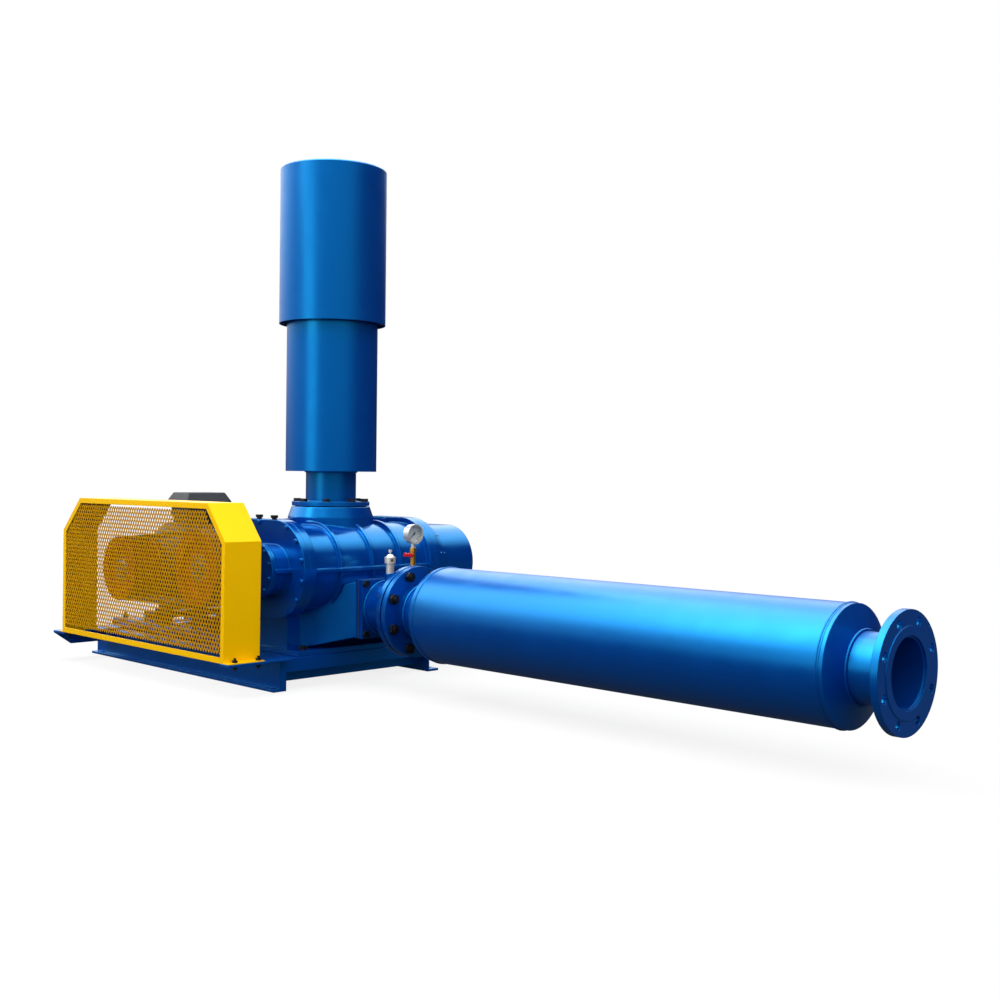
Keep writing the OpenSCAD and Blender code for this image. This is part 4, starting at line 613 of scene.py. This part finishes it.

# %% [markdown]
# Pipes, caps and flanges are joined by arc welds. Each bead is a small roll of metal laid in
# drops about 5 mm apart, and under gloss paint every drop keeps its own glint, which is why
# the seams look dotted. A smooth ring would lose that, so the bead is swept as a ring
# of small circles whose radius swells once for each drop.

# %% Weld beads
DROP, STEPS_PER_DROP, BEAD_SIDES = 5.0, 3, 8
BEAD_THIN, BEAD_SWELL = 0.8, 0.3


def weld(name, centre, axis, radius, bead):
    """A bead of this thickness round a pipe of this radius, in mm, whose axis is given."""
    mesh = bmesh.new()
    drops = round(tau * radius / DROP)
    steps = drops * STEPS_PER_DROP
    turn = Vector((0, 0, 1)).rotation_difference(Vector(axis)).to_matrix()
    loops = []
    for step in range(steps):
        around = tau * step / steps
        size = bead * (BEAD_THIN + BEAD_SWELL * abs(sin(around * drops / 2)))
        loop = []
        for k in range(BEAD_SIDES):
            out, along = size * cos(tau * k / BEAD_SIDES), size * sin(tau * k / BEAD_SIDES)
            place = Vector(((radius + out) * cos(around), (radius + out) * sin(around), along))
            loop.append(mesh.verts.new((turn @ place) * MM + Vector(centre) * MM))
        loops.append(loop)
    for step, loop in enumerate(loops):
        after = loops[(step + 1) % steps]
        for k in range(BEAD_SIDES):
            beside = (k + 1) % BEAD_SIDES
            mesh.faces.new((loop[k], after[k], after[beside], loop[beside]))
    bmesh.ops.recalc_face_normals(mesh, faces=mesh.faces)
    for face in mesh.faces:
        face.smooth = True
    return show(name, as_data(mesh, name), blue_sheet)


PIPE, BODY, AXIS_Z, BLOWER_Y = 84.15, 146, 251, -400
discharge_welds = (
    ("weld_body_end", -2338, BODY, 2.6), ("weld_body_start", -987, BODY, 2.6),
    ("weld_neck_end", -2378, PIPE + 2, 4), ("weld_neck_start", -947, PIPE + 2, 4),
    ("weld_flange_end", -2467, PIPE + 1, 4.5), ("weld_flange_start", -877, PIPE + 1, 4.5),
    ("weld_stub_square", -689, PIPE + 1, 4.5), ("weld_stub_round", -814, PIPE + 1, 4.5))
inlet_welds = (("weld_inlet_flange", 587, PIPE + 1, 4.5), ("weld_inlet_shell", 688, PIPE + 1, 4))
for name, y, radius, bead in discharge_welds:
    weld(name, (0, y, AXIS_Z), (0, 1, 0), radius, bead)
for name, z, radius, bead in inlet_welds:
    weld(name, (0, BLOWER_Y, z), (0, 0, 1), radius, bead)
print(len(discharge_welds) + len(inlet_welds), "weld beads laid")

# %% [markdown]
# The dial carries printed strokes. They are too fine to model on the solid, and real ones
# would be too fine for the camera, so each is drawn wide: a sliver of ink a third of a
# millimetre thick that stands on the dial, every third one longer and wider.

# %% Dial strokes
DIAL_R, STROKES, FIRST_ANGLE, SWEEP = 26, 13, 225, 270
LONG_STROKE, SHORT_STROKE, LONG_EVERY = (7, 2.6), (4, 1.4), 3
INK, INK_MIDDLE = 0.3, 0.1
dial_low, dial_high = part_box("gauge_dial")
dial_x, dial_z = (dial_low.x + dial_high.x) / 2 / MM, (dial_low.z + dial_high.z) / 2 / MM
dial_face = dial_low.y / MM
strokes = bmesh.new()
for k in range(STROKES):
    lean = radians(FIRST_ANGLE - SWEEP * k / (STROKES - 1))
    outward, across = Vector((cos(lean), 0, sin(lean))), Vector((-sin(lean), 0, cos(lean)))
    long, wide = LONG_STROKE if k % LONG_EVERY == 0 else SHORT_STROKE
    middle = Vector((dial_x, dial_face - INK_MIDDLE, dial_z)) + outward * (DIAL_R - long / 2)
    for vert in bmesh.ops.create_cube(strokes, size=1)["verts"]:
        vert.co = (middle + outward * vert.co.x * long + across * vert.co.z * wide
                   + Vector((0, vert.co.y * INK, 0))) * MM
bmesh.ops.recalc_face_normals(strokes, faces=strokes.faces)
show("dial_strokes", as_data(strokes, "dial_strokes"), dial_black)
print(STROKES, "strokes on the dial")

# %% [markdown]
# The front of the belt guard is a panel of expanded metal: a sheet is slit and pulled until
# the slits open into diamonds, which also twists every strand out of the sheet. It could be
# painted on a plate as a pattern, but light has to pass through it and the pulleys have to
# show behind it, so each diamond is a real hole. They repeat every 15 mm across and 26 mm
# up, and every second row is offset by half a diamond. First come the holes' corners: each
# diamond is shrunk about its middle by half a strand, and the twist moves its upper corner
# in towards the pulleys and its lower one out.

# %% Diamond holes
DIAMOND_WIDE, DIAMOND_TALL = 15 * MM, 26 * MM
HALF_WIDE, HALF_TALL = DIAMOND_WIDE / 2, DIAMOND_TALL / 2
STRAND, TWIST = 4.1 * MM, 0.9 * MM
# the corners are cut so that the outermost strands end just behind the guard's folds
PANEL_CORNER = 108 * MM
# the guard's top is higher than the solid's, so the panel reaches up as well
PANEL_RAISE = 4 * MM
# each corner of a diamond as its steps in Y and Z and how far the twist moves it
CORNERS = ((HALF_WIDE, 0, 0), (0, HALF_TALL, TWIST), (-HALF_WIDE, 0, 0), (0, -HALF_TALL, -TWIST))


def diamond_holes(mesh, low, high):
    """Adds the four corners of every hole and returns them by column and row."""
    slant = (HALF_WIDE ** 2 + HALF_TALL ** 2) ** 0.5
    shrink = 1 - STRAND * slant / (2 * HALF_WIDE * HALF_TALL)
    middle_x = (low.x + high.x) / 2
    rows, columns = int((high.z - low.z) / HALF_TALL), int((high.y - low.y) / DIAMOND_WIDE)

    def inside(y, z):
        over = max(0, z + HALF_TALL - (high.z - PANEL_CORNER))
        return (low.y + HALF_WIDE + over < y < high.y - HALF_WIDE - over
                and low.z + HALF_TALL < z < high.z - HALF_TALL)

    holes = {}
    for row in range(rows + 1):
        for column in range(columns + 1):
            y = low.y + (column + (row % 2) / 2) * DIAMOND_WIDE
            z = low.z + row * HALF_TALL
            if inside(y, z):
                holes[2 * column + row % 2, row] = [
                    mesh.verts.new((middle_x + lean, y + dy * shrink, z + dz * shrink))
                    for dy, dz, lean in CORNERS]
    return holes


panel_low, panel_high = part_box("guard_mesh")
panel_high.z += PANEL_RAISE
panel = bmesh.new()
holes = diamond_holes(panel, panel_low, panel_high)
print(len(holes), "diamonds in the panel")

# %% [markdown]
# The strands are the strips between one hole's side and the next one's. They could be swept
# along zigzag curves, but four-cornered faces between the corners that are there already
# join without a seam. Where four strands meet, the tips of the holes round that place bound
# a small patch. This is one layer, and a solidify modifier gives it the sheet's thickness.

# %% Guard panel
SHEET = 1.5 * MM


def fill_strands(mesh, holes):
    """Adds the strips between neighbouring holes and the patches where they meet."""
    for (column, row), ring in holes.items():
        for side, mine, theirs in ((1, (0, 1), (2, 3)), (-1, (1, 2), (3, 0))):
            other = holes.get((column + side, row + 1))
            if other:
                mesh.faces.new([ring[k] for k in mine] + [other[k] for k in theirs])
    steps = ((0, 1), (1, 0), (0, -1), (-1, 0))
    for column, row in {(c + dc, r + dr) for c, r in holes for dc, dr in steps}:
        around = (((column, row - 1), 1), ((column + 1, row), 2),
                  ((column, row + 1), 3), ((column - 1, row), 0))
        tips = [holes[key][tip] for key, tip in around if key in holes]
        if len(tips) > 2:
            mesh.faces.new(tips)
    bmesh.ops.delete(mesh, geom=[v for v in mesh.verts if not v.link_faces], context="VERTS")
    bmesh.ops.recalc_face_normals(mesh, faces=mesh.faces)


fill_strands(panel, holes)
# the strands wear the yellow that is painted darker, as painted shade
guard_panel = show("guard_panel", as_data(panel, "guard_panel"), yellow_strands_painted_shade,
                   instead_of="guard_mesh")
thick = guard_panel.modifiers.new("sheet", "SOLIDIFY")
thick.thickness, thick.offset = SHEET, 0
print("guard_panel", len(guard_panel.data.polygons), "faces in one layer")
